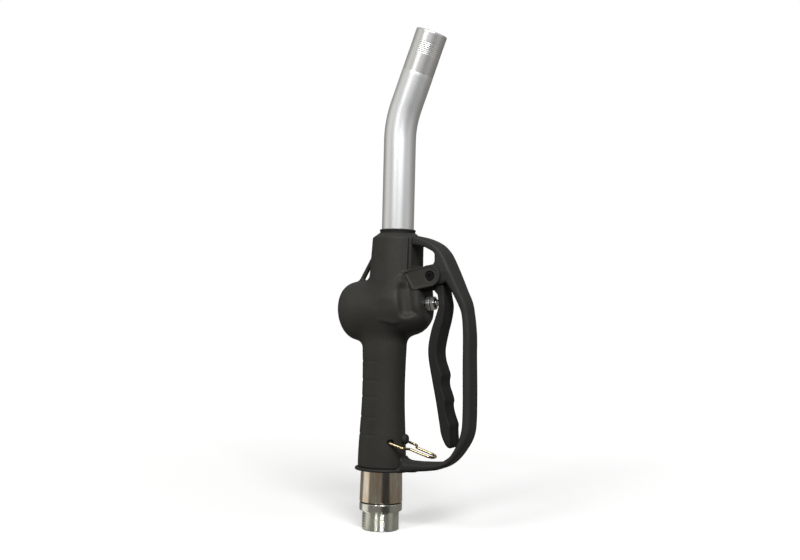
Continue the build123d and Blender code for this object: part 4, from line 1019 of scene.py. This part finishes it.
class StudioShader(Shader):
    """Nodes for what surrounds the object: bright and dark zones round it, as a mirror sees them."""

    def __init__(self, tree, vector):
        self.nodes, self.links = tree.nodes, tree.links
        self.place = self.nodes.new("ShaderNodeTexCoord").outputs[vector]

    def maths(self, kind, *values):
        """A maths node's output over sockets or numbers."""
        node = self.nodes.new("ShaderNodeMath")
        node.operation = kind
        for socket, value in zip(node.inputs, values):
            if isinstance(value, bpy.types.NodeSocket):
                self.links.new(value, socket)
            else:
                socket.default_value = value
        return node.outputs[0]

    def along(self, direction):
        """How far the shaded point lies in a direction."""
        node = self.nodes.new("ShaderNodeVectorMath")
        node.operation = "DOT_PRODUCT"
        self.links.new(self.place, node.inputs[0])
        node.inputs[1].default_value = direction
        return node.outputs["Value"]

    def zones(self):
        """The surroundings' colour by the direction round the object."""
        sine, cosine = math.sin(CAMERA_AZIMUTH), math.cos(CAMERA_AZIMUTH)
        turn = self.maths("ARCTAN2", self.along((cosine, sine, 0)), self.along((sine, -cosine, 0)))
        share = self.maths("MULTIPLY_ADD", turn, 1 / (2 * math.pi), 0.5)
        stops = (
            (PANEL_FROM - ZONE_SOFTNESS, ROOM_GREY), (PANEL_FROM, PANEL_WHITE),
            (PANEL_TO, PANEL_WHITE), (PANEL_TO + ZONE_SOFTNESS, ROOM_GREY),
            (CURTAIN_FROM - ZONE_SOFTNESS, ROOM_GREY), (CURTAIN_FROM, CURTAIN_DARK),
            (CURTAIN_TO, CURTAIN_DARK), (CURTAIN_TO + ZONE_SOFTNESS, ROOM_GREY),
        )
        return self.ramp(share, *[(0.5 + angle / 360, colour) for angle, colour in stops])

    def emission(self, colour, strength=1.0):
        """A plain emission shader."""
        node = self.nodes.new("ShaderNodeEmission")
        for socket, value in ((node.inputs["Color"], colour), (node.inputs["Strength"], strength)):
            if isinstance(value, bpy.types.NodeSocket):
                self.links.new(value, socket)
            else:
                socket.default_value = value
        return node.outputs[0]

    def reflected(self):
        """Full strength for reflections, and less for the light that the room scatters."""
        mirror = self.nodes.new("ShaderNodeLightPath").outputs["Is Glossy Ray"]
        return self.maths("MULTIPLY_ADD", mirror, 1 - ROOM_SHARE, ROOM_SHARE)

    def shown_or_lit(self, lit, shown):
        """One shader for what the picture shows and another for what lights the object."""
        node = self.nodes.new("ShaderNodeMixShader")
        seen = self.nodes.new("ShaderNodeLightPath").outputs["Is Camera Ray"]
        for socket, source in zip(node.inputs, (seen, lit, shown)):
            self.links.new(source, socket)
        return node.outputs[0]


def make_floor():
    """A pale round floor that glows, which is painted light: weaker near the object, so the floor is greyer
    there and whiter away from it.
    """
    mesh = bpy.data.meshes.new("studio_floor")
    rim = [(7 * math.cos(a), 7 * math.sin(a), 0) for a in turn_angles(96)]
    mesh.from_pydata(rim, [], [tuple(range(96))])
    floor = bpy.data.objects.new("studio_floor", mesh)
    bpy.context.scene.collection.objects.link(floor)
    material = bpy.data.materials.new("studio_floor")
    material.use_nodes = True
    material.node_tree.nodes.clear()
    s = StudioShader(material.node_tree, "Object")
    distance = s.nodes.new("ShaderNodeVectorMath")
    distance.operation = "LENGTH"
    s.links.new(s.place, distance.inputs[0])
    # Painted light: the floor's own glow, half strength near the object and full white from about 1.5 m out.
    glow = s.ramp(s.maths("MULTIPLY", distance.outputs["Value"], 0.4), (0.05, (0.5,) * 3), (0.6, (1.0,) * 3))
    paint = s.nodes.new("ShaderNodeBsdfDiffuse")
    s.links.new(s.ramp(s.noise(2, 2), (0.3, (0.78,) * 3), (0.7, (0.82,) * 3)), paint.inputs["Color"])
    both = s.nodes.new("ShaderNodeAddShader")
    s.links.new(paint.outputs[0], both.inputs[0])
    s.links.new(s.emission(glow), both.inputs[1])
    output = s.nodes.new("ShaderNodeOutputMaterial")
    # To every ray but the camera's, the floor glows with the room's zones: painted light that lights the
    # nozzle from below and shows in its reflections.
    shader = s.shown_or_lit(s.emission(s.zones(), s.reflected()), both.outputs[0])
    s.links.new(shader, output.inputs["Surface"])
    mesh.materials.append(material)
    return floor


def area_light(name, turn, elevation, distance, size, power):
    """A soft light aimed at the nozzle; turn is in degrees to the right of the camera."""
    light = bpy.data.lights.new(name, "AREA")
    light.shape = "RECTANGLE"
    light.size, light.size_y = size
    light.energy = power
    holder = bpy.data.objects.new(name, light)
    a, e = CAMERA_AZIMUTH + math.radians(turn), math.radians(elevation)
    back = Vector((math.sin(a) * math.cos(e), -math.cos(a) * math.cos(e), math.sin(e)))
    holder.location = Vector((0.02, 0, 0.24)) + back * distance
    holder.rotation_euler = back.to_track_quat("Z", "Y").to_euler()
    bpy.context.scene.collection.objects.link(holder)
    return holder


def make_lights():
    """Three soft lights and a room that is white only to the camera."""
    area_light("key", -32, 30, 1.6, (0.28, 0.9), 8)
    area_light("front", 10, 34, 1.7, (0.6, 0.6), 21)
    area_light("side", 68, 9, 2.0, (1.2, 1.2), 2)
    world = bpy.data.worlds.new("studio_world")
    bpy.context.scene.world = world
    world.use_nodes = True
    world.node_tree.nodes.clear()
    s = StudioShader(world.node_tree, "Generated")
    height = s.maths("ABSOLUTE", s.along((0, 0, 1)))
    overhead = s.mix(s.ramp(height, (0.3, (0,) * 3), (0.6, (1,) * 3)), s.zones(), (0.4, 0.4, 0.39, 1))
    output = s.nodes.new("ShaderNodeOutputWorld")
    shader = s.shown_or_lit(s.emission(overhead, s.reflected()), s.emission((1, 1, 1, 1)))
    s.links.new(shader, output.inputs["Surface"])


def make_camera():
    """A camera at the photograph's viewing angle."""
    data = bpy.data.cameras.new("camera")
    data.sensor_width = 36.0
    data.lens = CAMERA_LENS
    data.clip_end = 30.0
    camera = bpy.data.objects.new("camera", data)
    bpy.context.scene.collection.objects.link(camera)
    distance = CAMERA_DISTANCE * MM
    camera_x, camera_y = distance * math.sin(CAMERA_AZIMUTH), -distance * math.cos(CAMERA_AZIMUTH)
    heading = CAMERA_AZIMUTH + CAMERA_YAW
    forward = Vector(
        (
            -math.sin(heading) * math.cos(CAMERA_PITCH),
            math.cos(heading) * math.cos(CAMERA_PITCH),
            math.sin(CAMERA_PITCH),
        )
    )
    level = Vector((math.cos(heading), math.sin(heading), 0))
    above = level.cross(forward)
    right = level * math.cos(CAMERA_ROLL) + above * math.sin(CAMERA_ROLL)
    up = above * math.cos(CAMERA_ROLL) - level * math.sin(CAMERA_ROLL)
    turn = Matrix((right, up, -forward)).transposed().to_4x4()
    camera.matrix_world = Matrix.Translation((camera_x, camera_y, CAMERA_HEIGHT * MM)) @ turn
    bpy.context.scene.camera = camera
    bpy.context.scene.view_settings.view_transform = "Standard"
    return camera


# ------------------------------------------------------------------ the scene


def main():
    """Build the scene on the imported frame."""
    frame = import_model()
    make_casting()
    make_guard()
    make_lever()
    make_inlet()
    make_sleeve()
    make_spout()
    make_stop()
    make_spring()
    hexagon_nut("gland_nut_head", "gland_nut", *GLAND_NUT)
    hexagon_nut("lock_nut_turned", "lock_nut", *LOCK_NUT)
    dress(frame, make_materials())
    make_floor()
    make_lights()
    make_camera()


main()
